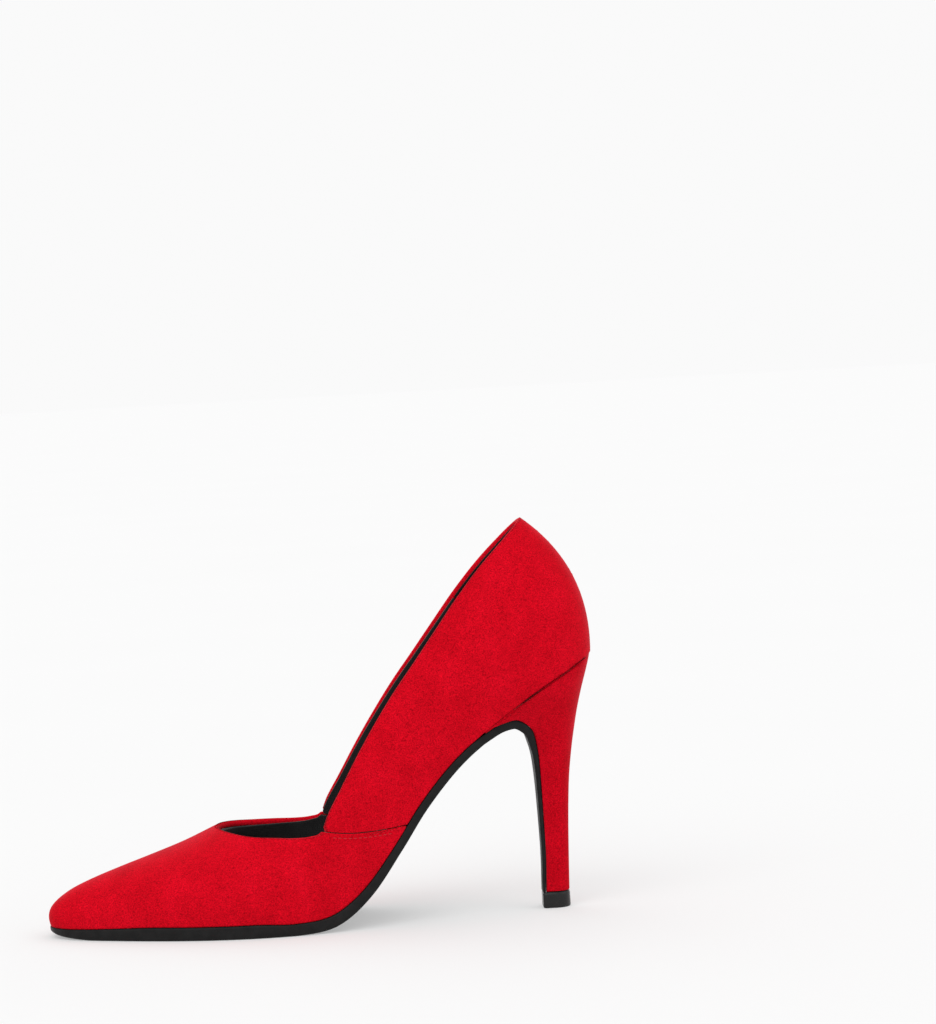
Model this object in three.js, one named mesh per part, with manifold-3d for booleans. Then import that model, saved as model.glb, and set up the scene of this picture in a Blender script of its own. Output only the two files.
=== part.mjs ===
// Stiletto pump for the left foot. Millimetres, +Z up, toe toward -X, outer side toward -Y.
// The origin is the middle of the top piece's ground face.
import * as THREE from 'three';
import { mergeVertices } from 'three/addons/utils/BufferGeometryUtils.js';
import Module from 'manifold-3d';

const wasm = await Module();
wasm.setup();

// Main sizes. The last is drawn at a base size and graded to these three.
const SHOE_LENGTH = 226.8;
const HEEL_HEIGHT = 104.8;
const BALL_WIDTH = 73;
const BASE_LENGTH = 226.8;
const BASE_HEIGHT = 104.8;
const BASE_WIDTH = 73;
const BASE_TREAD = 5.7;
const LENGTH_GRADE = SHOE_LENGTH / BASE_LENGTH;
const WIDTH_GRADE = BALL_WIDTH / BASE_WIDTH;

// Lift that the heel height gives to the seat and the sole thickness to the tread, shared out
// between them by the base height of what is lifted.
function lift(baseHeight) {
  const share = (baseHeight - BASE_TREAD) / (BASE_HEIGHT - BASE_TREAD);
  return (HEEL_HEIGHT - BASE_HEIGHT) * share + (SOLE_TREAD + GAP - BASE_TREAD) * (1 - share);
}

// Clearance between pieces that touch on the real shoe.
const GAP = 0.3;

// Sheet thicknesses of the closed upper, from the outside inward.
const UPPER_THICK = 1.3;
const STIFFENER_THICK = 1.0;
const LINING_THICK = 0.8;
const STIFFENER_DEPTH = UPPER_THICK + GAP;
const LINING_DEPTH = STIFFENER_DEPTH + STIFFENER_THICK + GAP;
const INSIDE_DEPTH = LINING_DEPTH + LINING_THICK + GAP;

// Lasting margin: the strip of upper that turns under the foot.
const MARGIN_TOE = 5.5;
const MARGIN_SIDE = 10;

// Bottom layers, heights above the feather line.
const SHANK_THICK = 1.3;
const INSOLE_THICK = 1.2;
const SHANK_BOARD_THICK = 1.4;
const CUSHION_THICK = 2.2;
const SOCK_THICK = 0.8;
const INSOLE_BASE = Math.max(UPPER_THICK, SHANK_THICK) + GAP;
const BOARD_BASE = INSOLE_BASE + INSOLE_THICK + GAP;
const HEAD_BASE = BOARD_BASE + SHANK_BOARD_THICK + 0.15;
const HEAD_THICK = 0.55;
const SOCK_BASE = BOARD_BASE + CUSHION_THICK + GAP;
const SOCK_CLEARANCE = 0.2;

// Steel shank strip and the fasteners.
const SHANK_WIDTH = 12;
const RIVET_RADIUS = 1.2;
const RIVET_HEAD = 2.3;
const SCREW_RADIUS = 1.9;
const SCREW_HEAD = 3.6;
const SCREW_REACH = 14;
const NAIL_RADIUS = 0.9;
const NAIL_HEAD = 2.0;
const NAIL_REACH = 10;

// Outsole and the flap that runs down the front of the heel.
const SOLE_TOE = 1.6;
const SOLE_TREAD = 5.4;
const SOLE_BALL = 4.8;
const SOLE_ARCH = 3.4;
const SOLE_EDGE = 0.25;
const SOLE_BEVEL = 1.2;

// Heel, its cover, its steel tube and the replaceable top piece.
const COVER_THICK = 0.9;
const SEAT_INSET = 0.6;
const TOP_PIECE_HEIGHT = 6.6;
const TOP_PIECE_FRONT = -4.1;
const TOP_PIECE_BACK = 7.3;
const TOP_PIECE_HALF = 5.2;
const HEEL_FOOT = TOP_PIECE_HEIGHT + GAP;
const TUBE_X = 2.0;
const TUBE_RADIUS = 2.0;
const TUBE_BORE = 1.45;
const TUBE_TOP = HEEL_HEIGHT - 44.8;
const PIN_RADIUS = 1.15;
const PIN_BOTTOM = 2.4;
const PIN_TOP = 22;

// Stations of the last, toe to heel. Each row holds the feather line x, z, the crown line x, z,
// the half widths at the feather line (outer, inner), swell, draw, belly and centre line y.
const STATIONS = [
  [-205.9, 4.6, -202.2, 15.1, 0, 0, 0, 0, -2.2, 3.0],
  [-204.2, 4.6, -200.6, 16.5, 6.0, 6.0, 2.0, 0, -2.0, 3.0],
  [-199.0, 4.6, -195.6, 19.5, 11.6, 11.6, 3.8, 0, -1.5, 2.9],
  [-190.4, 4.8, -187.0, 23.1, 16.6, 16.6, 5.2, 0, -0.9, 2.7],
  [-178.8, 5.2, -175.9, 27.0, 21.7, 21.8, 6.6, 0, -0.4, 2.4],
  [-165.2, 5.7, -163.2, 31.2, 26.8, 27.2, 8.0, 0, 0, 2.0],
  [-150.0, 5.7, -149.5, 36.0, 31.4, 32.2, 9.2, 0, 0, 1.5],
  [-135.0, 5.7, -136.0, 41.8, 34.6, 35.8, 10.2, 0, 0, 1.1],
  [-120.0, 5.7, -122.5, 47.5, 35.9, 37.1, 11.0, 0, 0, 0.8],
  [-105.0, 5.1, -110.0, 54.0, 34.9, 35.7, 11.4, 0, 0, 0.5],
  [-90.5, 7.2, -101.0, 62.0, 32.2, 31.9, 11.6, 2, 0, 0.3],
  [-77.5, 16.2, -94.5, 71.5, 28.6, 27.2, 12.0, 5, 0, 0.1],
  [-65.0, 31.2, -88.0, 83.5, 25.1, 23.3, 13.0, 6, 0, 0],
  [-52.5, 48.8, -79.5, 98.0, 22.6, 21.2, 16.0, 0, 0, 0],
  [-38.0, 65.2, -67.5, 115.0, 22.2, 21.4, 21.0, -9, 0.5, 0],
  [-22.5, 78.0, -52.5, 134.0, 23.6, 23.0, 24.0, -18, 1.7, 0],
  [-6.5, 89.3, -36.0, 152.0, 25.2, 24.8, 25.0, -25, 3.8, 0],
  [8.2, 98.0, -21.6, 165.4, 22.4, 22.2, 22.3, -22.3, 6.2, 0],
  [17.8, 103.2, -14.0, 172.0, 13.0, 13.0, 13.0, -13.0, 7.7, 0],
  [20.9, 104.8, -11.5, 174.0, 0, 0, 0, 0, 8.2, 0],
];
const BACK_STATION = STATIONS.length - 1;
const THROAT_STATION = 7;
const BACK_SPAN = 0.815;

// Opening edge and the seam between vamp and quarters, both seen from the side.
const TOPLINE = [
  [-136.1, 41.8], [-130, 41.1], [-122, 40.2], [-112, 39.7], [-104, 39.3], [-97.5, 39.6],
  [-93.2, 41.2], [-90.3, 47.8], [-84.9, 57.0], [-77.7, 69.4], [-70.0, 81.7], [-61.5, 94.2],
  [-52.4, 106.2], [-43.2, 118.5], [-34.0, 130.7], [-23.7, 142.9], [-12.5, 154.2],
  [-5.0, 161.3], [6.0, 171.5],
];
const SIDE_SEAM = [[-100, 43.5], [-93.2, 41.2], [-86, 39.9], [-79, 39.3], [-70, 39.4], [-59, 40.4], [-50, 42]];

// Heights between which the heel goes from its own tip size to the graded size of the seat.
const BASE_FOOT = 6.9;
const BASE_SEAT = 72;

function heelGrade(z, grade) {
  return 1 + (grade - 1) * Math.min(Math.max((z - BASE_FOOT) / (BASE_SEAT - BASE_FOOT), 0), 1);
}

function heelHeight(z) {
  const low = Math.min(Math.max((BASE_SEAT - z) / (BASE_SEAT - BASE_FOOT), 0), 1);
  return z + lift(z) + (HEEL_FOOT - BASE_FOOT - lift(BASE_FOOT)) * low;
}

// Path of the outsole after it leaves the upper: x, z, half width and thickness.
const FLAP = [
  [-27.6, 73.6, 22.0, 3.5], [-23.6, 76.1, 21.6, 3.6], [-19.8, 78.0, 21.0, 3.7],
  [-15.8, 79.0, 20.2, 3.7], [-12.0, 79.1, 19.2, 3.7], [-8.5, 77.2, 17.8, 3.6],
  [-5.6, 73.6, 15.8, 3.2], [-4.2, 68.0, 12.9, 2.5], [-3.4, 62.0, 10.3, 2.0],
  [-2.95, 52.0, 8.1, 1.6], [-2.65, 38.0, 6.5, 1.4], [-2.45, 22.0, 5.4, 1.3],
  [-2.95, 6.9, 4.8, 1.2],
].map(([x, z, half, thick]) => (
  [x * heelGrade(z, LENGTH_GRADE), heelHeight(z), half * heelGrade(z, WIDTH_GRADE), thick]));

// Heel sections, tip to seat: front x, z, back x, z, half width and crown.
const HEEL_SECTIONS = [
  [-2.6, 6.9, 7.2, 6.9, 5.1, 0], [-2.1, 22, 7.7, 22, 5.7, 0], [-2.3, 38, 8.4, 38, 6.9, 0],
  [-2.6, 52, 9.4, 52.5, 8.6, 0], [-3.1, 62, 10.9, 64.0, 11.0, 0], [-3.9, 68.2, 12.4, 72.6, 13.7, 0],
  [-5.3, 74.1, 14.1, 81.0, 16.7, 0.2], [-8.2, 77.7, 16.1, 88.8, 19.8, 0.6],
  [-11.9, 79.7, 18.2, 95.8, 22.4, 1.1], [-15.6, 79.7, 19.6, 100.3, 23.9, 1.6],
  [-19.0, 79.0, 20.4, 103.0, 24.7, 2.1], [-21.9, 78.3, 20.7, 104.4, 25.0, 2.4],
].map(([frontX, frontZ, backX, backZ, half, crown]) => [
  frontX * heelGrade(frontZ, LENGTH_GRADE),
  heelHeight(frontZ),
  backX * heelGrade(backZ, LENGTH_GRADE),
  heelHeight(backZ),
  half * heelGrade(backZ, WIDTH_GRADE),
  crown,
]);
const HEEL_TOP = HEEL_SECTIONS.length - 1;
const HEEL_CORNER = 0.93;
const HEEL_STEP = 0.4;
const SEAT_FRONT = 15.05;

// Where each inner piece starts and ends along the stations.
const PUFF_END = 3.6;
const COUNTER_START = 14.2;
const COUNTER_ROWS = 6;
const GRIP_START = 15.6;
const BALL_STATION = 9.65;
const PIECE_BREAK = 0.03;
const SHANK_START = 10.05;
const SHANK_END = 16.7;
const SOLE_END = 14.4;
const TREAD_STATIONS = [4, 9];
const SCREW_STATION = 16.25;
const RIVET_STATIONS = [11.2, 14.3];
const NAIL_STATIONS = [15.85, 16.7];

const OUTER = -1;
const INNER = 1;

function smooth(before, from, to, after, f) {
  const rise = (to - before) / 2;
  const fall = (after - from) / 2;
  const f2 = f * f;
  const f3 = f2 * f;
  return from * (2 * f3 - 3 * f2 + 1) + rise * (f3 - 2 * f2 + f)
    + to * (3 * f2 - 2 * f3) + fall * (f3 - f2);
}

// Smooth track through one column of the station table. Parity mirrors it past toe and heel.
function track(column, parity) {
  const value = (i) => {
    if (i < 0) return parity * STATIONS[-i][column];
    if (i > BACK_STATION) return parity * STATIONS[2 * BACK_STATION - i][column];
    return STATIONS[i][column];
  };
  return (t) => {
    const i = Math.floor(t);
    return smooth(value(i - 1), value(i), value(i + 1), value(i + 2), t - i);
  };
}

// Smooth height along a side-view line given as x, z points in rising x.
function lineHeight(points, x) {
  const slope = (i) => {
    const a = points[Math.max(i - 1, 0)];
    const b = points[Math.min(i + 1, points.length - 1)];
    return (b[1] - a[1]) / (b[0] - a[0]);
  };
  let i = 0;
  while (i < points.length - 2 && x > points[i + 1][0]) i += 1;
  const [x0, z0] = points[i];
  const [x1, z1] = points[i + 1];
  const w = x1 - x0;
  const f = (x - x0) / w;
  if (f < 0 || f > 1) return f < 0 ? z0 + slope(0) * (x - x0) : z1 + slope(i + 1) * (x - x1);
  const f2 = f * f;
  const f3 = f2 * f;
  return z0 * (2 * f3 - 3 * f2 + 1) + slope(i) * w * (f3 - 2 * f2 + f)
    + z1 * (3 * f2 - 2 * f3) + slope(i + 1) * w * (f3 - f2);
}

const footX = track(0, 1);
const footZ = track(1, 1);
const crownX = track(2, 1);
const crownZ = track(3, 1);
const halfOuter = track(4, -1);
const halfInner = track(5, -1);
const swell = track(6, -1);
const draw = track(7, -1);
const belly = track(8, 1);
const centre = track(9, 1);

// Side-view position on the last, at the base size.
function profile(t, u) {
  const dx = crownX(t) - footX(t);
  const dz = crownZ(t) - footZ(t);
  const s = u / (t < THROAT_STATION ? 1 : BACK_SPAN);
  const bow = belly(t) * 4 * s * (1 - s) / Math.hypot(dx, dz);
  return { x: footX(t) + dx * u + dz * bow, z: footZ(t) + dz * u - dx * bow };
}

// Point on the last: station t, angle a from the feather line (0) to the crown (90 degrees).
function lastPoint(t, a, side) {
  const u = Math.sin(a);
  const { x, z } = profile(t, u);
  const half = side === OUTER ? halfOuter(t) : halfInner(t);
  const y = centre(t) + side * Math.cos(a) * (half + swell(t) * u + draw(t) * u * u);
  return new THREE.Vector3(
    x * LENGTH_GRADE,
    y * WIDTH_GRADE,
    z + lift(footZ(t)),
  );
}

function lastNormal(t, a, side) {
  const d = 1e-3;
  const along = lastPoint(t + d, a, side).sub(lastPoint(t - d, a, side));
  const up = lastPoint(t, a + d, side).sub(lastPoint(t, a - d, side));
  return along.cross(up).multiplyScalar(-side).normalize();
}

// Up direction of the bottom of the last.
function bottomUp(t) {
  const t0 = Math.max(t - 0.4, 0);
  const t1 = Math.min(t + 0.4, BACK_STATION);
  const d = lastPoint(t1, 0, OUTER).sub(lastPoint(t0, 0, OUTER));
  return new THREE.Vector3(-d.z, 0, d.x).normalize();
}

// Point on the bottom, a distance in from the feather line and a height above it. The bottom
// is level across the shoe, so a point takes its height from the station it ends up at.
function bottomPoint(t, side, inset, height) {
  const d = 1e-3;
  const along = lastPoint(t + d, 0, side).sub(lastPoint(t - d, 0, side));
  const inward = along.cross(bottomUp(t)).multiplyScalar(side).normalize();
  const p = lastPoint(t, 0, side).addScaledVector(inward, inset);
  if (inset <= 0) return p.addScaledVector(bottomUp(t), height);
  const station = stationAt(p.x);
  p.z = footZ(station) + lift(footZ(station));
  return p.addScaledVector(bottomUp(station), height);
}

function stationAt(x) {
  return solve((t) => footX(t) * LENGTH_GRADE - x, 0, BACK_STATION);
}

function solve(test, low, high) {
  let a = low;
  let b = high;
  for (let i = 0; i < 50; i += 1) {
    const m = (a + b) / 2;
    if (test(m) < 0) a = m;
    else b = m;
  }
  return (a + b) / 2;
}

function lineAngle(points, t) {
  const above = (a) => {
    const p = profile(t, Math.sin(a));
    return p.z - lineHeight(points, p.x);
  };
  return solve(above, 0, Math.PI / 2);
}

const toplineAngle = (t) => (t <= THROAT_STATION ? Math.PI / 2 : lineAngle(TOPLINE, t));
const seamAngle = (t) => lineAngle(SIDE_SEAM, t);
const CORNER_STATION = solve((t) => toplineAngle(t) - seamAngle(t), 9, 12);
const SEAM_FOOT_STATION = solve((t) => footZ(t) - lineHeight(SIDE_SEAM, footX(t)), 11, 14);

// Angle at which the wall stands a given height above the feather line.
function angleAtHeight(t, height) {
  const length = Math.hypot(crownX(t) - footX(t), crownZ(t) - footZ(t));
  return Math.asin(Math.min(height / length, 0.9));
}

function spread(from, to, count) {
  return Array.from({ length: count + 1 }, (_, i) => from + (to - from) * i / count);
}

// Closed solid between matching outside and inside grids. Points of neighbouring patches that
// coincide are merged, and a wall is raised along every edge that stays free.
function solid(patches) {
  const keys = new Map();
  const positions = [];
  const nodeOf = (p) => {
    const name = [p.x, p.y, p.z].map((v) => Math.round(v * 2000)).join();
    if (!keys.has(name)) {
      keys.set(name, positions.length / 3);
      positions.push(p.x, p.y, p.z);
    }
    return keys.get(name);
  };
  const indices = [];
  const triangle = (i, j, k) => {
    if (i !== j && j !== k && k !== i) indices.push(i, j, k);
  };
  const edges = new Map();
  const face = (a, b, c) => {
    const [i, j, k] = [a, b, c].map((p) => nodeOf(p.outside));
    if (i === j || j === k || k === i) return;
    triangle(i, j, k);
    triangle(...[c, b, a].map((p) => nodeOf(p.inside)));
    [[a, b], [b, c], [c, a]].forEach(([from, to]) => {
      const name = `${nodeOf(from.outside)}:${nodeOf(to.outside)}`;
      edges.set(name, [from, to]);
    });
  };
  patches.forEach(({ grid, flip }) => {
    for (let i = 0; i < grid.length - 1; i += 1) {
      for (let j = 0; j < grid[0].length - 1; j += 1) {
        const ring = [grid[i][j], grid[i + 1][j], grid[i + 1][j + 1], grid[i][j + 1]];
        const [a, b, c, d] = flip ? ring.reverse() : ring;
        face(a, b, c);
        face(a, c, d);
      }
    }
  });
  edges.forEach(([from, to], name) => {
    if (edges.has(name.split(':').reverse().join(':'))) return;
    const [a, b] = [nodeOf(from.outside), nodeOf(to.outside)];
    const [c, d] = [nodeOf(to.inside), nodeOf(from.inside)];
    triangle(b, a, d);
    triangle(b, d, c);
  });
  const geometry = new THREE.BufferGeometry();
  geometry.setAttribute('position', new THREE.Float32BufferAttribute(positions, 3));
  geometry.setIndex(indices);
  return facingOutward(geometry);
}

function facingOutward(geometry) {
  const index = geometry.index.array;
  const at = (i) => new THREE.Vector3().fromBufferAttribute(geometry.attributes.position, index[i]);
  let volume = 0;
  for (let i = 0; i < index.length; i += 3) volume += at(i).dot(at(i + 1).cross(at(i + 2)));
  if (volume > 0) return geometry;
  for (let i = 0; i < index.length; i += 3) [index[i + 1], index[i + 2]] = [index[i + 2], index[i + 1]];
  return geometry;
}

function wallPoint(t, a, side, depth) {
  return lastPoint(t, a, side).addScaledVector(lastNormal(t, a, side), -depth);
}

// One side of a wall layer, between two depths under the outer surface of the upper.
function wallPatch(stations, side, rowAngles, depths) {
  const grid = stations.map((t) => rowAngles(t).map((a) => ({
    outside: wallPoint(t, a, side, depths[0]),
    inside: wallPoint(t, a, side, depths[1]),
  })));
  return { grid, flip: side === INNER };
}

function wallBothSides(stations, rowAngles, depths) {
  return solid([OUTER, INNER].map((side) => wallPatch(stations, side, rowAngles, depths)));
}

// How far in the inner faces of wall and margin meet, for a wall that leans outward.
function cornerInset(t, side) {
  const lean = -lastNormal(t, 0, side).dot(bottomUp(t));
  return UPPER_THICK * Math.sqrt((1 - lean) / (1 + lean));
}

// One side of the upper, with the lasting margin turned under the foot.
function upperPatch(stations, side, rowAngles, margin) {
  const grid = stations.map((t) => {
    const width = margin(t);
    const walls = rowAngles(t).map((a) => ({
      outside: wallPoint(t, a, side, 0),
      inside: wallPoint(t, a, side, UPPER_THICK),
    }));
    if (width === 0) return [walls[0], ...walls];
    const rim = {
      outside: bottomPoint(t, side, width, 0),
      inside: bottomPoint(t, side, width, UPPER_THICK),
    };
    const corner = {
      outside: lastPoint(t, 0, side),
      inside: bottomPoint(t, side, cornerInset(t, side), UPPER_THICK),
    };
    return [rim, corner, ...walls.slice(1)];
  });
  return { grid, flip: side === INNER };
}

// Flat layer of the bottom, inset from the feather line and between two heights.
function plate(stations, inset, base, thick, rows = 3) {
  const grid = stations.map((t) => {
    const row = (height) => {
      const from = bottomPoint(t, OUTER, inset(t), height);
      const to = bottomPoint(t, INNER, inset(t), height);
      return spread(0, 1, rows).map((f) => from.clone().lerp(to, f));
    };
    const upper = row(base + thick);
    return row(base).map((p, k) => ({ outside: p, inside: upper[k] }));
  });
  return solid([{ grid }]);
}

const TOE_STATIONS = [0, 0.3, 0.65, 1.05, 1.5, 2, 2.6, 3.3, 4.1, 5, 6, 7];
const THROAT_STATIONS = [7.03, 7.12, 7.28, 7.5, 7.8, 8.2, 8.7, 9.1, 9.4, 9.65];
const WAIST_STATIONS = [10.05, 10.4, 10.75, 11.1, 11.45, 11.8, 12.15, 12.5, 12.9, 13.5, 14.1, 14.7];
const HEEL_STATIONS = [15.3, 15.9, 16.4, 16.9, 17.4, 17.9, 18.3, 18.65, 18.88, 19];
const WALL_STATIONS = [...TOE_STATIONS, ...THROAT_STATIONS, ...WAIST_STATIONS, ...HEEL_STATIONS];
const BOTTOM_STATIONS = WALL_STATIONS.filter((t) => t <= 6 || t >= 7.5);

// Stations of a list that lie inside a range, with both ends of the range added.
function between(list, start, end, extra = []) {
  const inside = list.concat(extra).filter((t) => t > start + 0.02 && t < end - 0.02);
  return [start, ...inside.sort((a, b) => a - b), end];
}

const marginWidth = (t) => {
  const grow = Math.min(Math.max((t - 2) / 3, 0), 1);
  return MARGIN_TOE + (MARGIN_SIDE - MARGIN_TOE) * grow;
};
const halfSeam = (t) => angleAtHeight(t, GAP / 2);
const vampTop = (t) => (t < CORNER_STATION ? toplineAngle(t) : seamAngle(t) - halfSeam(t));
const quarterBottom = (t) => (t < SEAM_FOOT_STATION ? seamAngle(t) + halfSeam(t) : 0);
const quarterMargin = (t) => {
  const grow = Math.min(Math.max((t - SEAM_FOOT_STATION) / 0.25, 0), 1);
  return marginWidth(t) * grow;
};
const vampRows = (t) => spread(0, vampTop(t), 7);
const quarterRows = (t) => spread(quarterBottom(t), toplineAngle(t), 7);
const SEAM_FOOT_EXTRA = [SEAM_FOOT_STATION, SEAM_FOOT_STATION + 0.25];
const QUARTER_START = CORNER_STATION + 0.12;
const VAMP_END = SEAM_FOOT_STATION - 0.12;
const BACK_SEAM = BACK_STATION - 0.015;

function vamp() {
  const stations = between(WALL_STATIONS, 0, VAMP_END, [CORNER_STATION]);
  return solid([OUTER, INNER].map((side) => upperPatch(stations, side, vampRows, marginWidth)));
}

function quarter(side) {
  const stations = between(WALL_STATIONS, QUARTER_START, BACK_SEAM, SEAM_FOOT_EXTRA);
  return solid([upperPatch(stations, side, quarterRows, quarterMargin)]);
}

// Inner layers of the upper stand on the lasting margin.
const layerBottom = (t) => angleAtHeight(t, INSOLE_BASE + 0.2);
const aboveMargin = (rows) => (t) => rows(t).map((a, k) => (k === 0 ? Math.max(a, layerBottom(t)) : a));
const VAMP_LAYER_END = 12.15;
const STIFFENER = [STIFFENER_DEPTH, STIFFENER_DEPTH + STIFFENER_THICK];
const LINING = [LINING_DEPTH, LINING_DEPTH + LINING_THICK];

function toePuff() {
  return wallBothSides(between(WALL_STATIONS, 0, PUFF_END), aboveMargin(vampRows), STIFFENER);
}

function vampInterlining() {
  const stations = between(WALL_STATIONS, PUFF_END + PIECE_BREAK, VAMP_LAYER_END, [CORNER_STATION]);
  return wallBothSides(stations, aboveMargin(vampRows), STIFFENER);
}

function vampLining() {
  const stations = between(WALL_STATIONS, 0, VAMP_LAYER_END, [CORNER_STATION]);
  return wallBothSides(stations, aboveMargin(vampRows), LINING);
}

function quarterLayer(side, end, depths) {
  const stations = between(WALL_STATIONS, QUARTER_START, end, SEAM_FOOT_EXTRA);
  return solid([wallPatch(stations, side, aboveMargin(quarterRows), depths)]);
}

function heelCounter() {
  const rows = (t) => aboveMargin(quarterRows)(t).slice(0, COUNTER_ROWS);
  return wallBothSides(between(WALL_STATIONS, COUNTER_START, BACK_STATION), rows, STIFFENER);
}

function heelGrip() {
  const stations = between(WALL_STATIONS, GRIP_START, BACK_STATION);
  return wallBothSides(stations, aboveMargin(quarterRows), LINING);
}

// Bottom pieces.
const insoleInset = () => INSIDE_DEPTH;

// How far in from the feather line a layer at a height clears the lining, where the wall leans in.
function liningInset(t, height) {
  const foot = lastPoint(t, 0, INNER);
  const inside = (angle) => wallPoint(t, angle, INNER, INSIDE_DEPTH);
  const a = solve((angle) => inside(angle).z - foot.z - height, 0, Math.PI / 2);
  const inward = bottomPoint(t, INNER, -1, 0).sub(foot).negate();
  return Math.max(inside(a).sub(foot).dot(inward), INSIDE_DEPTH);
}

const sockInset = (t) => liningInset(t, SOCK_BASE + SOCK_THICK) + SOCK_CLEARANCE;
const fillerInset = (t) => marginWidth(t) + GAP;

function strip(start, end, half, base, thick) {
  const grid = between(BOTTOM_STATIONS, start, end).map((t) => {
    const at = (y, height) => {
      const p = lastPoint(t, 0, OUTER);
      p.y = y;
      return p.addScaledVector(bottomUp(t), height);
    };
    return [-half, half].map((y) => ({ outside: at(y, base), inside: at(y, base + thick) }));
  });
  return solid([{ grid }]);
}

// Cross rows of the outsole: the edge, the bevelled tread rim and the tread between the rims.
function soleRow(edges, rims, down, thick) {
  const topEdges = edges.map((p) => p.clone());
  const topRims = rims.map((p) => p.clone());
  const lower = (p, depth) => p.clone().addScaledVector(down, depth);
  const bevel = Math.min(SOLE_BEVEL, thick * 0.5);
  const tread = spread(0, 1, 4).map((f) => topRims[0].clone().lerp(topRims[1], f));
  return [
    { outside: lower(topEdges[0], thick - bevel), inside: topEdges[0] },
    ...tread.map((p) => ({ outside: lower(p, thick), inside: p })),
    { outside: lower(topEdges[1], thick - bevel), inside: topEdges[1] },
  ];
}

const ramp = (t, start, end) => Math.min(Math.max((t - start) / (end - start), 0), 1);

// The sole is skived thin at the toe and thinner again along the arch. Between them the tread
// is level with the ground.
function soleThickness(t) {
  const ground = lastPoint(t, 0, OUTER).z - GAP;
  if (t > TREAD_STATIONS[0] && t < TREAD_STATIONS[1]) return ground;
  const toe = SOLE_TOE + (SOLE_TREAD - SOLE_TOE) * ramp(t, 0, TREAD_STATIONS[0]);
  const waist = SOLE_BALL + (SOLE_ARCH - SOLE_BALL) * ramp(t, 10, 12);
  return Math.min(t < THROAT_STATION ? toe : waist, ground);
}

function outsole() {
  const sides = [OUTER, INNER];
  const under = between(BOTTOM_STATIONS, 0, SOLE_END).map((t) => {
    const edges = sides.map((side) => bottomPoint(t, side, -SOLE_EDGE, -GAP));
    const rims = sides.map((side) => bottomPoint(t, side, SOLE_BEVEL, -GAP));
    return soleRow(edges, rims, bottomUp(t).negate(), soleThickness(t));
  });
  const flap = FLAP.map(([x, z, half, thick], i) => {
    const a = FLAP[Math.max(i - 1, 0)];
    const b = FLAP[Math.min(i + 1, FLAP.length - 1)];
    const down = new THREE.Vector3(b[1] - a[1], 0, a[0] - b[0]).normalize();
    const edges = sides.map((side) => new THREE.Vector3(x, side * half, z));
    const rims = sides.map((side) => new THREE.Vector3(x, side * (half - SOLE_BEVEL), z));
    return soleRow(edges, rims, down, thick);
  });
  return solid([{ grid: [...under, ...flap] }]);
}

// Heel surface: station t runs round the seat, row r runs from the tip to the seat.
function heelSection(row) {
  const at = (i) => HEEL_SECTIONS[Math.min(Math.max(i, 0), HEEL_TOP)];
  const i = Math.min(Math.floor(row), HEEL_TOP - 1);
  return [0, 1, 2, 3, 4, 5].map((k) => (
    smooth(at(i - 1)[k], at(i)[k], at(i + 1)[k], at(i + 2)[k], row - i)));
}

function heelPoint(t, row, side) {
  const [frontX, frontZ, backX, backZ, half, crown] = heelSection(row);
  const f = (footX(t) - footX(SEAT_FRONT)) / (footX(BACK_STATION) - footX(SEAT_FRONT));
  const round = Math.sqrt(Math.max(1 - (2 * f - 1) ** 2, 0)) * (t > BACK_STATION ? -1 : 1);
  const flank = HEEL_CORNER + (1 - HEEL_CORNER) * Math.sin(Math.PI * f);
  const y = side * half * (f < 0.5 ? flank : round);
  const low = new THREE.Vector3(
    frontX + (backX - frontX) * f,
    y,
    frontZ + (backZ - frontZ) * f + crown * 4 * f * (1 - f),
  );
  const blend = Math.min(Math.max((row - HEEL_TOP + 3) / 3, 0), 1);
  return low.lerp(bottomPoint(t, side, SEAT_INSET, -GAP), blend * blend * (3 - 2 * blend));
}

function heelNormal(t, row, side) {
  const d = 1e-3;
  const along = heelPoint(t + d, row, side).sub(heelPoint(t - d, row, side));
  const above = heelPoint(t, Math.min(row + HEEL_STEP, HEEL_TOP), side);
  const up = above.sub(heelPoint(t, Math.max(row - HEEL_STEP, 0), side));
  const normal = along.cross(up).multiplyScalar(-side);
  if (t === BACK_STATION) normal.y = 0;
  if (row === HEEL_TOP) normal.projectOnPlane(bottomUp(t));
  return normal.normalize();
}

const HEEL_AROUND = [SEAT_FRONT, 15.9, 16.4, 16.9, 17.4, 17.9, 18.3, 18.65, BACK_STATION];
const HEEL_ROWS = [0, 2, 3, 4, 4.8, 5.6, 6.4, 7.2, 8, 9, 10, HEEL_TOP];

function heelSurface(t, row, side, depth) {
  return heelPoint(t, row, side).addScaledVector(heelNormal(t, row, side), -depth);
}

function heelCover() {
  return solid([OUTER, INNER].map((side) => ({
    grid: HEEL_AROUND.map((t) => HEEL_ROWS.map((row) => ({
      outside: heelSurface(t, row, side, 0),
      inside: heelSurface(t, row, side, COVER_THICK),
    }))),
    flip: side === INNER,
  })));
}

function heelCore() {
  const last = HEEL_AROUND.length - 1;
  return solid([OUTER, INNER].map((side) => ({
    grid: HEEL_AROUND.map((t, j) => HEEL_ROWS.map((row) => {
      const corner = (which) => heelSurface(SEAT_FRONT, row, which, COVER_THICK + GAP);
      const middle = corner(OUTER).lerp(corner(INNER), 0.5).setY(0);
      return {
        outside: heelSurface(t, row, side, COVER_THICK + GAP),
        inside: corner(side).lerp(middle, j / last),
      };
    })),
    flip: side === INNER,
  })));
}

function withoutSeams(geometry) {
  geometry.deleteAttribute('normal');
  geometry.deleteAttribute('uv');
  const merged = mergeVertices(geometry, 1e-4);
  const index = merged.index.array;
  const kept = [];
  for (let i = 0; i < index.length; i += 3) {
    const [a, b, c] = index.slice(i, i + 3);
    if (a !== b && b !== c && c !== a) kept.push(a, b, c);
  }
  merged.setIndex(kept);
  return merged;
}

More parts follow.
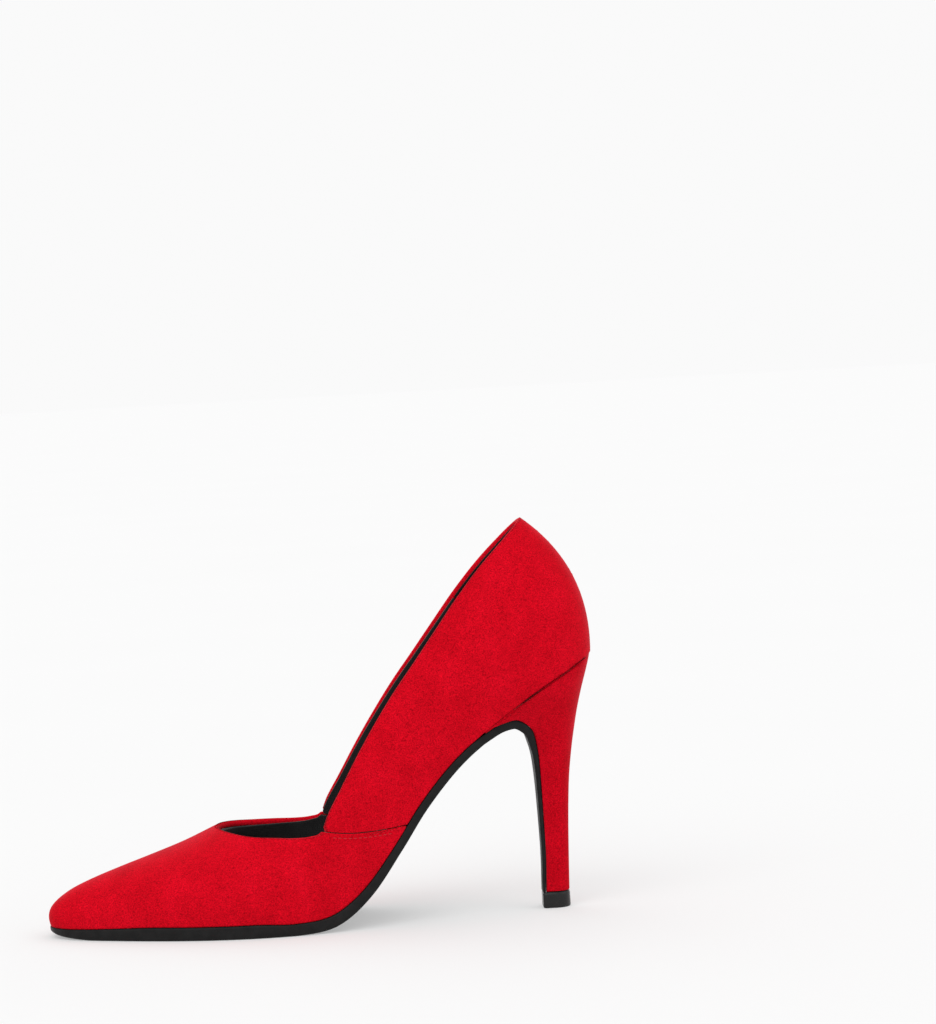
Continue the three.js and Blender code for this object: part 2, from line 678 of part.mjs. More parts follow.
// Round work. Fasteners stand square to the bottom at a station.
function atBottom(geometry, t, y) {
  const p = lastPoint(t, 0, OUTER);
  p.y = y;
  const turn = new THREE.Quaternion().setFromUnitVectors(new THREE.Vector3(0, 1, 0), bottomUp(t));
  return geometry.applyQuaternion(turn).translate(p.x, p.y, p.z);
}

function lathe(points, segments = 10) {
  const profilePoints = points.map(([r, h]) => new THREE.Vector2(r, h));
  return facingOutward(withoutSeams(new THREE.LatheGeometry(profilePoints, segments)));
}

function fastener(t, y, tip, radius, head) {
  const crown = HEAD_BASE + HEAD_THICK;
  const shape = [[0, tip], [radius, tip + radius * 0.5], [radius, HEAD_BASE], [head, HEAD_BASE],
    [head * 0.85, crown], [0, crown]];
  return atBottom(lathe(shape), t, y);
}

function bore(t, y, radius, bottom) {
  const top = SOCK_BASE + 6;
  return atBottom(lathe([[0, bottom], [radius, bottom], [radius, top], [0, top]]), t, y);
}

function uprightBore(x, radius, bottom, top) {
  return upright(lathe([[0, bottom], [radius, bottom], [radius, top], [0, top]]), x);
}

function upright(geometry, x) {
  return geometry.rotateX(Math.PI / 2).translate(x, 0, 0);
}

function toManifold(geometry) {
  const mesh = new wasm.Mesh({
    numProp: 3,
    vertProperties: new Float32Array(geometry.attributes.position.array),
    triVerts: new Uint32Array(geometry.index.array),
  });
  return new wasm.Manifold(mesh);
}

function cut(geometry, tools) {
  let result = toManifold(geometry);
  tools.forEach((tool) => {
    result = result.subtract(toManifold(tool));
  });
  const mesh = result.getMesh();
  const cutGeometry = new THREE.BufferGeometry();
  cutGeometry.setAttribute('position', new THREE.Float32BufferAttribute(mesh.vertProperties, 3));
  cutGeometry.setIndex(Array.from(mesh.triVerts));
  return cutGeometry;
}

// Nails stand midway between the shank and the inner edge of the lasting margin.
const nailOffset = (t) => (SHANK_WIDTH / 2 + halfInner(t) * WIDTH_GRADE - MARGIN_SIDE) / 2;
const NAILS = NAIL_STATIONS.flatMap((t) => [-1, 1].map((side) => [t, side * nailOffset(t)]));

function seatBores(bottom) {
  const nails = NAILS.map(([t, y]) => bore(t, y, NAIL_RADIUS + GAP, Math.max(bottom, -NAIL_REACH - GAP)));
  return [bore(SCREW_STATION, 0, SCREW_RADIUS + GAP, Math.max(bottom, -SCREW_REACH - GAP)), ...nails];
}

const rivetBores = () => RIVET_STATIONS.map((t) => bore(t, 0, RIVET_RADIUS + GAP, -5));

function insoleBoard() {
  const stations = between(BOTTOM_STATIONS, 0, BACK_STATION);
  const board = plate(stations, insoleInset, INSOLE_BASE, INSOLE_THICK);
  return cut(board, [...seatBores(-5), ...rivetBores()]);
}

function shankBoard() {
  const stations = between(BOTTOM_STATIONS, BALL_STATION + PIECE_BREAK, BACK_STATION);
  const board = plate(stations, insoleInset, BOARD_BASE, SHANK_BOARD_THICK);
  return cut(board, [...seatBores(-5), ...rivetBores()]);
}

function steelShank() {
  const blade = strip(SHANK_START, SHANK_END, SHANK_WIDTH / 2, 0, SHANK_THICK);
  return cut(blade, [seatBores(-5)[0], ...rivetBores()]);
}

function core() {
  const tubeBore = uprightBore(TUBE_X, TUBE_RADIUS + GAP, 0, TUBE_TOP + GAP);
  return cut(heelCore(), [tubeBore, ...seatBores(-40)]);
}

function heelTube() {
  const outside = uprightBore(TUBE_X, TUBE_RADIUS, HEEL_FOOT, TUBE_TOP);
  return cut(outside, [uprightBore(TUBE_X, TUBE_BORE, 0, TUBE_TOP + 5)]);
}

function topPiece() {
  const outline = new THREE.Shape();
  const length = TOP_PIECE_BACK - TOP_PIECE_FRONT;
  const round = length * 0.52;
  outline.moveTo(TOP_PIECE_FRONT, -TOP_PIECE_HALF * HEEL_CORNER);
  outline.lineTo(TOP_PIECE_BACK - round, -TOP_PIECE_HALF);
  outline.absellipse(TOP_PIECE_BACK - round, 0, round, TOP_PIECE_HALF, -Math.PI / 2, Math.PI / 2);
  outline.lineTo(TOP_PIECE_FRONT, TOP_PIECE_HALF * HEEL_CORNER);
  const block = new THREE.ExtrudeGeometry(outline, {
    depth: TOP_PIECE_HEIGHT,
    bevelEnabled: false,
    curveSegments: 14,
  });
  const socket = uprightBore(TUBE_X, PIN_RADIUS + GAP, PIN_BOTTOM - GAP, TOP_PIECE_HEIGHT + 5);
  return cut(facingOutward(withoutSeams(block)), [socket]);
}

function topPiecePin() {
  const chamfer = PIN_RADIUS * 0.6;
  const shape = [[0, PIN_BOTTOM], [PIN_RADIUS, PIN_BOTTOM], [PIN_RADIUS, PIN_TOP - chamfer],
    [PIN_RADIUS - chamfer, PIN_TOP], [0, PIN_TOP]];
  return upright(lathe(shape), TUBE_X);
}

function bottomFiller() {
  return plate(between(BOTTOM_STATIONS, 0, SHANK_START - PIECE_BREAK), fillerInset, 0, SHANK_THICK);
}

function forepartCushion() {
  return plate(between(BOTTOM_STATIONS, 0, BALL_STATION), insoleInset, BOARD_BASE, CUSHION_THICK);
}

function sockLining() {
  return plate(between(BOTTOM_STATIONS, 0, BACK_STATION), sockInset, SOCK_BASE, SOCK_THICK);
}

const SUEDE = { color: 0xd2081e, roughness: 0.95 };
const WEAVE = { color: 0xe6e0d2, roughness: 0.9 };
const LINING_CLOTH = { color: 0x1c1a1b, roughness: 0.85 };
const FIBRE_BOARD = { color: 0xb58a5c, roughness: 0.9 };
const STEEL = { color: 0x9a9ea3, roughness: 0.35, metalness: 1 };
const SOLE_RUBBER = { color: 0x222324, roughness: 0.75 };

const PIECES = [
  ['vamp', vamp(), SUEDE],
  ['quarter_lateral', quarter(OUTER), SUEDE],
  ['quarter_medial', quarter(INNER), SUEDE],
  ['toe_puff', toePuff(), { color: 0xd9cfb4, roughness: 0.6 }],
  ['vamp_interlining', vampInterlining(), WEAVE],
  ['quarter_interlining_lateral', quarterLayer(OUTER, COUNTER_START - PIECE_BREAK, STIFFENER), WEAVE],
  ['quarter_interlining_medial', quarterLayer(INNER, COUNTER_START - PIECE_BREAK, STIFFENER), WEAVE],
  ['heel_counter', heelCounter(), { color: 0xc9b891, roughness: 0.7 }],
  ['vamp_lining', vampLining(), LINING_CLOTH],
  ['quarter_lining_lateral', quarterLayer(OUTER, GRIP_START - PIECE_BREAK, LINING), LINING_CLOTH],
  ['quarter_lining_medial', quarterLayer(INNER, GRIP_START - PIECE_BREAK, LINING), LINING_CLOTH],
  ['heel_grip', heelGrip(), { color: 0x242021, roughness: 1 }],
  ['insole_board', insoleBoard(), FIBRE_BOARD],
  ['forepart_cushion', forepartCushion(), { color: 0xf0e9d8, roughness: 1 }],
  ['shank_board', shankBoard(), { color: 0x8a6a48, roughness: 0.9 }],
  ['steel_shank', steelShank(), STEEL],
  ['shank_rivet_front', fastener(RIVET_STATIONS[0], 0, -0.1, RIVET_RADIUS, RIVET_HEAD), STEEL],
  ['shank_rivet_rear', fastener(RIVET_STATIONS[1], 0, -0.1, RIVET_RADIUS, RIVET_HEAD), STEEL],
  ['bottom_filler', bottomFiller(), { color: 0xa98f6b, roughness: 1 }],
  ['sock_lining', sockLining(), { color: 0x1f1d1e, roughness: 0.7 }],
  ['outsole', outsole(), SOLE_RUBBER],
  ['heel_core', core(), { color: 0xe8e4dc, roughness: 0.5 }],
  ['heel_cover', heelCover(), SUEDE],
  ['heel_tube', heelTube(), STEEL],
  ['heel_screw', fastener(SCREW_STATION, 0, -SCREW_REACH, SCREW_RADIUS, SCREW_HEAD), STEEL],
  ...NAILS.map(([t, y], i) => (
    [`heel_nail_${i + 1}`, fastener(t, y, -NAIL_REACH, NAIL_RADIUS, NAIL_HEAD), STEEL])),
  ['top_piece', topPiece(), { color: 0x141314, roughness: 0.3 }],
  ['top_piece_pin', topPiecePin(), STEEL],
];

const pump = new THREE.Group();
PIECES.forEach(([name, geometry, look]) => {
  geometry.computeVertexNormals();
  const mesh = new THREE.Mesh(geometry, new THREE.MeshStandardMaterial(look));
  mesh.name = name;
  pump.add(mesh);
});

export default pump;
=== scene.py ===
import math

import bpy
import numpy as np
from mathutils import Matrix, Vector


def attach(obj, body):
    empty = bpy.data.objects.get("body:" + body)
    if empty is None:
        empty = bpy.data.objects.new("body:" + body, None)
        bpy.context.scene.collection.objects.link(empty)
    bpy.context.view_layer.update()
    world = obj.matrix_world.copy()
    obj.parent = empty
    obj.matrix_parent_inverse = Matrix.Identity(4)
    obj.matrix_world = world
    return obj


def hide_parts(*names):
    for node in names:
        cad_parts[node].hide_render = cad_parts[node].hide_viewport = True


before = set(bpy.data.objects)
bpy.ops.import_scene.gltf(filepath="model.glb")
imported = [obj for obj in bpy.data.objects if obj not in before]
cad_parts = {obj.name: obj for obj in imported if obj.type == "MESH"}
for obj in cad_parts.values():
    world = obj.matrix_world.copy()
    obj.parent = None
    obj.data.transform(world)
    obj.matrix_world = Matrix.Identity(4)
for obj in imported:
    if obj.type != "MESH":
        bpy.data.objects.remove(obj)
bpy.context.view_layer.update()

MM = 0.001
STEP = 0.001
WELDS_PER_MM = 500
OUTER, INNER = -1, 1
SIDES = (OUTER, INNER)

# ---------------------------------------------------------------- shape of the last, in mm
# Rows: feather x, z, crown x, z, half outer, half inner, swell, draw, belly, centre y.
STATIONS = np.array([
    [-205.9, 4.6, -202.2, 15.1, 0, 0, 0, 0, -2.2, 3.0],
    [-204.2, 4.6, -200.6, 16.5, 6.0, 6.0, 2.0, 0, -2.0, 3.0],
    [-199.0, 4.6, -195.6, 19.5, 11.6, 11.6, 3.8, 0, -1.5, 2.9],
    [-190.4, 4.8, -187.0, 23.1, 16.6, 16.6, 5.2, 0, -0.9, 2.7],
    [-178.8, 5.2, -175.9, 27.0, 21.7, 21.8, 6.6, 0, -0.4, 2.4],
    [-165.2, 5.7, -163.2, 31.2, 26.8, 27.2, 8.0, 0, 0, 2.0],
    [-150.0, 5.7, -149.5, 36.0, 31.4, 32.2, 9.2, 0, 0, 1.5],
    [-135.0, 5.7, -136.0, 41.8, 34.6, 35.8, 10.2, 0, 0, 1.1],
    [-120.0, 5.7, -122.5, 47.5, 35.9, 37.1, 11.0, 0, 0, 0.8],
    [-105.0, 5.1, -110.0, 54.0, 34.9, 35.7, 11.4, 0, 0, 0.5],
    [-90.5, 7.2, -101.0, 62.0, 32.2, 31.9, 11.6, 2, 0, 0.3],
    [-77.5, 16.2, -94.5, 71.5, 28.6, 27.2, 12.0, 5, 0, 0.1],
    [-65.0, 31.2, -88.0, 83.5, 25.1, 23.3, 13.0, 6, 0, 0],
    [-52.5, 48.8, -79.5, 98.0, 22.6, 21.2, 16.0, 0, 0, 0],
    [-38.0, 65.2, -67.5, 115.0, 22.2, 21.4, 21.0, -9, 0.5, 0],
    [-22.5, 78.0, -52.5, 134.0, 23.6, 23.0, 24.0, -18, 1.7, 0],
    [-6.5, 89.3, -36.0, 152.0, 25.2, 24.8, 25.0, -25, 3.8, 0],
    [8.2, 98.0, -21.6, 165.4, 22.4, 22.2, 22.3, -22.3, 6.2, 0],
    [17.8, 103.2, -14.0, 172.0, 13.0, 13.0, 13.0, -13.0, 7.7, 0],
    [20.9, 104.8, -11.5, 174.0, 0, 0, 0, 0, 8.2, 0],
])
BACK = len(STATIONS) - 1
THROAT = 7
BACK_SPAN = 0.815
SLOPE_REACH = 0.4
TOPLINE = np.array([
    [-136.1, 41.8], [-130, 41.1], [-122, 40.2], [-112, 39.7], [-104, 39.3], [-97.5, 39.6],
    [-93.2, 41.2], [-90.3, 47.8], [-84.9, 57.0], [-77.7, 69.4], [-70.0, 81.7], [-61.5, 94.2],
    [-52.4, 106.2], [-43.2, 118.5], [-34.0, 130.7], [-23.7, 142.9], [-12.5, 154.2],
    [-5.0, 161.3], [6.0, 171.5],
])
SIDE_SEAM = np.array([
    [-100, 43.5], [-93.2, 41.2], [-86, 39.9], [-79, 39.3], [-70, 39.4], [-59, 40.4], [-50, 42],
])
FLAP = np.array([
    [-27.6, 73.6, 22.0, 3.5], [-23.6, 76.1, 21.6, 3.6], [-19.8, 78.2, 21.0, 3.7],
    [-15.8, 79.4, 20.2, 3.7], [-12.0, 79.6, 19.2, 3.7], [-8.4, 77.7, 18.3, 3.6],
    [-5.45, 73.95, 16.2, 3.2], [-4.1, 68.0, 13.4, 2.5], [-3.3, 62.0, 10.6, 2.0],
    [-2.95, 52.0, 8.1, 1.6], [-2.65, 38.0, 6.5, 1.4], [-2.45, 22.0, 5.4, 1.3],
    [-2.95, 6.9, 4.8, 1.2],
])
HEEL_SECTIONS = np.array([
    [-2.6, 6.9, 7.2, 6.9, 5.1, 0], [-2.1, 22, 7.7, 22, 5.7, 0], [-2.3, 38, 8.4, 38, 6.9, 0],
    [-2.6, 52, 9.4, 52.5, 8.6, 0], [-3.1, 62, 10.9, 64.0, 11.0, 0],
    [-3.9, 68.2, 12.4, 72.6, 13.7, 0], [-5.3, 74.1, 14.1, 81.0, 16.7, 0.2],
    [-8.2, 77.7, 16.1, 88.8, 19.8, 0.6], [-11.9, 79.7, 18.2, 95.8, 22.4, 1.1],
    [-15.6, 79.5, 19.6, 100.3, 23.9, 1.6], [-20.2, 78.3, 20.4, 103.0, 24.7, 2.1],
    [-25.3, 75.5, 20.7, 104.4, 25.0, 2.4],
])
HEEL_TOP = len(HEEL_SECTIONS) - 1
SEAT_FRONT = 14.82

GAP = 0.3
UPPER = 1.3
STIFFENER = (1.6, 2.6)
LINING = (2.9, 3.7)
INSIDE = 4.0
MARGIN_TOE, MARGIN_SIDE = 5.5, 10.0
INSOLE_BASE, BOARD_BASE, SOCK_BASE = 1.6, 3.1, 5.6
CUSHION, SOCK = 2.2, 0.8
SOLE_TOE, SOLE_TREAD, SOLE_BALL, SOLE_ARCH = 1.6, 5.4, 4.8, 3.4
SOLE_EDGE, SOLE_BEVEL = 0.25, 1.2
TREAD = (4, 9)
COVER = 0.9
SEAT_INSET = 0.6
COVER_GAP = 0.12
HEEL_CORNER = 0.93
SEAT_ROWS = 3
TIP_FRONT, TIP_BACK, TIP_HALF = -4.1, 7.3, 5.2
TIP_LEVELS = [
    (0.0, -0.55), (0.12, -0.22), (0.4, 0.0), (0.9, 0.05), (3.2, 0.02), (5.2, 0.0),
    (5.9, -0.02), (6.15, -0.2), (6.3, -0.2), (6.5, -0.1), (6.6, -0.35),
]


def hermite(before, start, end, after, f):
    """Smooth curve from start to end, with its slopes taken from the neighbours."""
    rise = (end - before) / 2
    fall = (after - start) / 2
    f2, f3 = f * f, f * f * f
    return (start * (2 * f3 - 3 * f2 + 1) + rise * (f3 - 2 * f2 + f)
            + end * (3 * f2 - 2 * f3) + fall * (f3 - f2))


def track(column, parity):
    """Smooth track through a column of the station table, mirrored past toe and heel."""
    base = STATIONS[:, column]
    knots = np.concatenate([parity * base[3:0:-1], base, parity * base[-2:-5:-1]])

    def value(t):
        t = np.asarray(t, float)
        i = np.floor(t).astype(int)
        return hermite(knots[i + 2], knots[i + 3], knots[i + 4], knots[i + 5], t - i)

    return value


foot_x, foot_z, crown_x, crown_z = (track(k, 1) for k in range(4))
half_outer, half_inner, swell, draw = (track(k, -1) for k in range(4, 8))
belly, centre = track(8, 1), track(9, 1)


def line_height(points, x):
    """Smooth height along a side-view line, straight on past its ends."""
    px, pz = points[:, 0], points[:, 1]
    slopes = np.empty(len(px))
    slopes[1:-1] = (pz[2:] - pz[:-2]) / (px[2:] - px[:-2])
    slopes[0] = (pz[1] - pz[0]) / (px[1] - px[0])
    slopes[-1] = (pz[-1] - pz[-2]) / (px[-1] - px[-2])
    i = np.clip(np.searchsorted(px, x, side="left") - 1, 0, len(px) - 2)
    w = px[i + 1] - px[i]
    f = (x - px[i]) / w
    g = np.clip(f, 0, 1)
    g2, g3 = g * g, g * g * g
    inside = (pz[i] * (2 * g3 - 3 * g2 + 1) + slopes[i] * w * (g3 - 2 * g2 + g)
              + pz[i + 1] * (3 * g2 - 2 * g3) + slopes[i + 1] * w * (g3 - g2))
    return inside + np.where(f < 0, slopes[i], slopes[i + 1]) * (f - g) * w


def profile(t, u):
    """Side-view line from the feather edge to the crown, bowed out by the belly."""
    fx, fz = foot_x(t), foot_z(t)
    dx, dz = crown_x(t) - fx, crown_z(t) - fz
    s = u / np.where(np.asarray(t) < THROAT, 1, BACK_SPAN)
    bow = belly(t) * 4 * s * (1 - s) / np.hypot(dx, dz)
    return fx + dx * u + dz * bow, fz + dz * u - dx * bow


def last_point(t, a, side):
    """Point on the last: station t, angle a from the feather line to the crown."""
    t, a = np.broadcast_arrays(np.asarray(t, float), np.asarray(a, float))
    u = np.sin(a)
    x, z = profile(t, u)
    half = (half_outer if side == OUTER else half_inner)(t)
    y = centre(t) + side * np.cos(a) * (half + swell(t) * u + draw(t) * u * u)
    return np.stack([x, y, z], -1)


def unit(v):
    return v / np.maximum(np.linalg.norm(v, axis=-1, keepdims=True), 1e-12)


def last_normal(t, a, side):
    along = last_point(t + STEP, a, side) - last_point(t - STEP, a, side)
    up = last_point(t, a + STEP, side) - last_point(t, a - STEP, side)
    return unit(np.cross(along, up) * -side)


def wall_point(t, a, side, depth):
    """Point a depth inside the last's surface."""
    depth = np.asarray(depth, float)[..., None] if np.ndim(depth) else depth
    return last_point(t, a, side) - last_normal(t, a, side) * depth


def bottom_up(t):
    """Direction square to the bottom, along the middle plane."""
    t = np.asarray(t, float)
    ahead = last_point(np.minimum(t + SLOPE_REACH, BACK), 0, OUTER)
    run = ahead - last_point(np.maximum(t - SLOPE_REACH, 0), 0, OUTER)
    return unit(np.stack([-run[..., 2], np.zeros_like(t), run[..., 0]], -1))


def bisect(test, low, high):
    """Where a rising test crosses zero between low and high."""
    for _ in range(46):
        middle = (low + high) / 2
        less = test(middle) < 0
        low, high = np.where(less, middle, low), np.where(less, high, middle)
    return (low + high) / 2


def station_at(x):
    x = np.asarray(x, float)
    return bisect(lambda t: foot_x(t) - x, np.zeros_like(x), np.full_like(x, float(BACK)))


def bottom_point(t, side, inset, height):
    """Point on the bottom, a distance in from the feather line and a height above it."""
    t = np.asarray(t, float)
    inset = np.broadcast_to(np.asarray(inset, float), t.shape)
    height = np.broadcast_to(np.asarray(height, float), t.shape)
    along = last_point(t + STEP, 0, side) - last_point(t - STEP, 0, side)
    inward = unit(np.cross(along, bottom_up(t)) * side)
    p = last_point(t, 0, side) + inward * inset[..., None]
    station = np.where(inset > 0, station_at(p[..., 0]), t)
    p[..., 2] = np.where(inset > 0, foot_z(station), p[..., 2])
    return p + bottom_up(station) * height[..., None]


def line_angle(points, t):
    """Angle at which the wall of station t meets a side-view line."""
    t = np.asarray(t, float)

    def above(a):
        x, z = profile(t, np.sin(a))
        return z - line_height(points, x)

    return bisect(above, np.zeros_like(t), np.full_like(t, math.pi / 2))


def topline_angle(t):
    t = np.asarray(t, float)
    return np.where(t <= THROAT, math.pi / 2, line_angle(TOPLINE, np.maximum(t, THROAT)))


def seam_angle(t):
    return line_angle(SIDE_SEAM, t)


def angle_at_height(t, height):
    length = np.hypot(crown_x(t) - foot_x(t), crown_z(t) - foot_z(t))
    return np.arcsin(np.minimum(height / length, 0.9))


CORNER = float(bisect(lambda t: topline_angle(t) - seam_angle(t), np.float64(9), np.float64(12)))
SEAM_FOOT = float(bisect(lambda t: foot_z(t) - line_height(SIDE_SEAM, foot_x(t)),
                         np.float64(11), np.float64(14)))


QUARTER_START = CORNER + 0.12
QUARTER_FOOT = [SEAM_FOOT, SEAM_FOOT + 0.25]
VAMP_END = SEAM_FOOT - 0.03


def ramp(t, start, end):
    return np.clip((np.asarray(t, float) - start) / (end - start), 0, 1)


def ease(f):
    return f * f * (3 - 2 * f)


def margin_width(t):
    """Width of the lasting margin turned under the bottom."""
    return MARGIN_TOE + (MARGIN_SIDE - MARGIN_TOE) * ramp(t, 2, 5)


# ---------------------------------------------------------------- mesh helpers
def mesh_object(name, points, faces, material, body="shoe", slot=None, replaces=()):
    """A smooth mesh from points in mm, riding on a body and standing for CAD nodes."""
    mesh = bpy.data.meshes.new(name)
    mesh.from_pydata([tuple(float(c) * MM for c in p) for p in points], [], faces)
    mesh.validate()
    mesh.update()
    for polygon in mesh.polygons:
        polygon.use_smooth = True
    mesh.materials.append(material)
    obj = bpy.data.objects.new(name, mesh)
    bpy.context.scene.collection.objects.link(obj)
    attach(obj, body)
    if replaces:
        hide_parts(*replaces)
    return obj


def weld_key(point):
    """Points that share a key are one point of the mesh."""
    return tuple(np.round(np.asarray(point) * WELDS_PER_MM).astype(int))


def clean_face(ring):
    """The corners of a face without repeats, or None where it has no area."""
    kept = [v for i, v in enumerate(ring) if v != ring[i - 1]]
    return kept if len(set(kept)) == len(kept) and len(kept) > 2 else None


def shell(patches, roll=0.6, arc=6):
    """Closed sheet between matching outside and inside grids, its free edges rolled round."""
    index, outside, inside, faces = {}, [], [], []
    for outer_grid, inner_grid, flip in patches:
        rows, columns = outer_grid.shape[:2]
        ids = np.empty((rows, columns), int)
        for i in range(rows):
            for j in range(columns):
                key = weld_key(outer_grid[i, j])
                if key not in index:
                    index[key] = len(outside)
                    outside.append(outer_grid[i, j])
                    inside.append(inner_grid[i, j])
                ids[i, j] = index[key]
        for i in range(rows - 1):
            for j in range(columns - 1):
                ring = [ids[i, j], ids[i + 1, j], ids[i + 1, j + 1], ids[i, j + 1]]
                face = clean_face([int(v) for v in (ring[::-1] if flip else ring)])
                if face:
                    faces.append(face)
    outside, inside = np.array(outside), np.array(inside)
    edges = {(f[k], f[(k + 1) % len(f)]) for f in faces for k in range(len(f))}
    free = [(a, b) for a, b in sorted(edges) if (b, a) not in edges]
    thick = outside - inside
    half = np.linalg.norm(thick, axis=1) / 2
    normal = unit(thick)
    reach = np.zeros_like(outside)
    for a, b in free:
        away = unit(np.cross(outside[b] - outside[a], normal[a] + normal[b]))
        reach[a] += away
        reach[b] += away
    reach = unit(reach)
    rim = sorted({v for edge in free for v in edge})
    middle = (outside + inside) / 2
    back = middle - reach * (half * roll)[:, None]
    points = list(outside) + list(inside)
    count = len(outside)
    strip = {}
    for v in rim:
        points[v] = back[v] + normal[v] * half[v]
        points[v + count] = back[v] - normal[v] * half[v]
        strip[v] = [v]
        for k in range(1, arc):
            turn = math.pi * k / arc
            strip[v].append(len(points))
            points.append(back[v] + normal[v] * half[v] * math.cos(turn)
                          + reach[v] * half[v] * roll * math.sin(turn))
        strip[v].append(v + count)
    made = list(faces) + [[v + count for v in reversed(f)] for f in faces]
    for a, b in free:
        for k in range(arc):
            made.append([strip[b][k], strip[a][k], strip[a][k + 1], strip[b][k + 1]])
    return outward(points, made)


def outward(points, faces):
    """Turns the faces out if the closed mesh came out inside out."""
    points = np.array(points)
    volume = 0.0
    for f in faces:
        for k in range(1, len(f) - 1):
            volume += np.dot(points[f[0]], np.cross(points[f[k]], points[f[k + 1]]))
    return points, faces if volume > 0 else [f[::-1] for f in faces]


def loft(rings, cap_start=False, cap_end=True):
    """Closed skin over a row of rings that all have the same number of points."""
    count = len(rings[0])
    index, points = {}, []
    ids = []
    for ring in rings:
        row = []
        for p in ring:
            key = weld_key(p)
            if key not in index:
                index[key] = len(points)
                points.append(p)
            row.append(index[key])
        ids.append(row)
    faces = []
    for a, b in zip(ids, ids[1:]):
        for k in range(count):
            n = (k + 1) % count
            face = clean_face([a[k], b[k], b[n], a[n]])
            if face:
                faces.append(face)
    if cap_start:
        faces.append(clean_face(ids[0]))
    if cap_end:
        faces.append(clean_face(ids[-1][::-1]))
    return outward(points, faces)


# ---------------------------------------------------------------- materials
def material(name, color, roughness=0.6, metallic=0.0, specular=0.5):
    mat = bpy.data.materials.new(name)
    mat.use_nodes = True
    shader = mat.node_tree.nodes["Principled BSDF"]
    shader.inputs["Base Color"].default_value = (*color, 1)
    shader.inputs["Roughness"].default_value = roughness
    shader.inputs["Metallic"].default_value = metallic
    shader.inputs["Specular IOR Level"].default_value = specular
    return mat, mat.node_tree, shader


def add(tree, kind, **values):
    node = tree.nodes.new(kind)
    for key, value in values.items():
        if key in node.inputs:
            node.inputs[key].default_value = value
        else:
            setattr(node, key, value)
    return node


def noise(tree, coordinates, scale, detail=3.0, roughness=0.55, distortion=0.0):
    node = add(tree, "ShaderNodeTexNoise", Scale=scale, Detail=detail)
    node.inputs["Roughness"].default_value = roughness
    node.inputs["Distortion"].default_value = distortion
    tree.links.new(coordinates, node.inputs["Vector"])
    return node.outputs["Fac"]


def colour_ramp(tree, value, stops):
    node = tree.nodes.new("ShaderNodeValToRGB")
    elements = node.color_ramp.elements
    while len(elements) < len(stops):
        elements.new(0.5)
    for element, (place, colour) in zip(elements, stops):
        element.position = place
        element.color = (*colour, 1)
    tree.links.new(value, node.inputs["Fac"])
    return node.outputs["Color"]


def mix_colour(tree, kind, factor, first, second):
    node = tree.nodes.new("ShaderNodeMix")
    node.data_type = "RGBA"
    node.blend_type = kind
    node.inputs[0].default_value = factor
    tree.links.new(first, node.inputs[6])
    tree.links.new(second, node.inputs[7])
    return node.outputs[2]


def bump(tree, shader, height, strength, distance, before=None):
    node = add(tree, "ShaderNodeBump", Strength=strength, Distance=distance * MM)
    tree.links.new(height, node.inputs["Height"])
    if before is not None:
        tree.links.new(before, node.inputs["Normal"])
    tree.links.new(node.outputs["Normal"], shader.inputs["Normal"])
    return node.outputs["Normal"]


def object_coordinates(tree, stretch=None):
    output = tree.nodes.new("ShaderNodeTexCoord").outputs["Object"]
    if stretch is None:
        return output
    mapping = tree.nodes.new("ShaderNodeMapping")
    mapping.inputs["Scale"].default_value = stretch
    tree.links.new(output, mapping.inputs["Vector"])
    return mapping.outputs["Vector"]


def grey(value):
    return (value, value, value)


def suede(name, dark, base, light):
    """Short napped suede: faint broad nap shading, fine fibre specks, fibre bump and sheen."""
    mat, tree, shader = material(name, base, 0.95, specular=0.03)
    place = object_coordinates(tree)
    broad = colour_ramp(tree, noise(tree, place, 75, 2, 0.5, 0.3),
                        [(0.25, dark), (0.52, base), (0.8, light)])
    specks = noise(tree, place, 2100, 2, 0.6)
    fine = colour_ramp(tree, specks, [(0.34, grey(0.55)), (0.47, grey(0.94)), (0.56, grey(1.04)),
                                      (0.68, grey(1.35))])
    patch = colour_ramp(tree, noise(tree, place, 420, 2, 0.6),
                        [(0.36, grey(0.95)), (0.64, grey(1.04))])
    colour = mix_colour(tree, "MULTIPLY", 1.0, broad, patch)
    colour = mix_colour(tree, "MULTIPLY", 1.0, colour, fine)
    tree.links.new(colour, shader.inputs["Base Color"])
    nap = bump(tree, shader, specks, 0.3, 0.12)
    bump(tree, shader, noise(tree, place, 420, 2, 0.6), 0.2, 0.15, nap)
    shader.inputs["Sheen Weight"].default_value = 0.3
    shader.inputs["Sheen Roughness"].default_value = 0.3
    shader.inputs["Sheen Tint"].default_value = (1.0, 0.2, 0.26, 1)
    return mat


def moulded_rubber():
    """Black outsole rubber with a fine pebbled grain."""
    mat, tree, shader = material("sole_rubber", grey(0.008), 0.5, specular=0.14)
    place = object_coordinates(tree)
    cells = add(tree, "ShaderNodeTexVoronoi", Scale=900.0)
    tree.links.new(place, cells.inputs["Vector"])
    colour = colour_ramp(tree, noise(tree, place, 260, 4),
                         [(0.3, grey(0.006)), (0.7, grey(0.011))])
    tree.links.new(colour, shader.inputs["Base Color"])
    rough = colour_ramp(tree, noise(tree, place, 160, 3), [(0.3, grey(0.42)), (0.7, grey(0.62))])
    tree.links.new(rough, shader.inputs["Roughness"])
    grain = bump(tree, shader, cells.outputs["Distance"], 0.30, 0.22)
    bump(tree, shader, noise(tree, place, 60, 3), 0.2, 0.5, grain)
    return mat


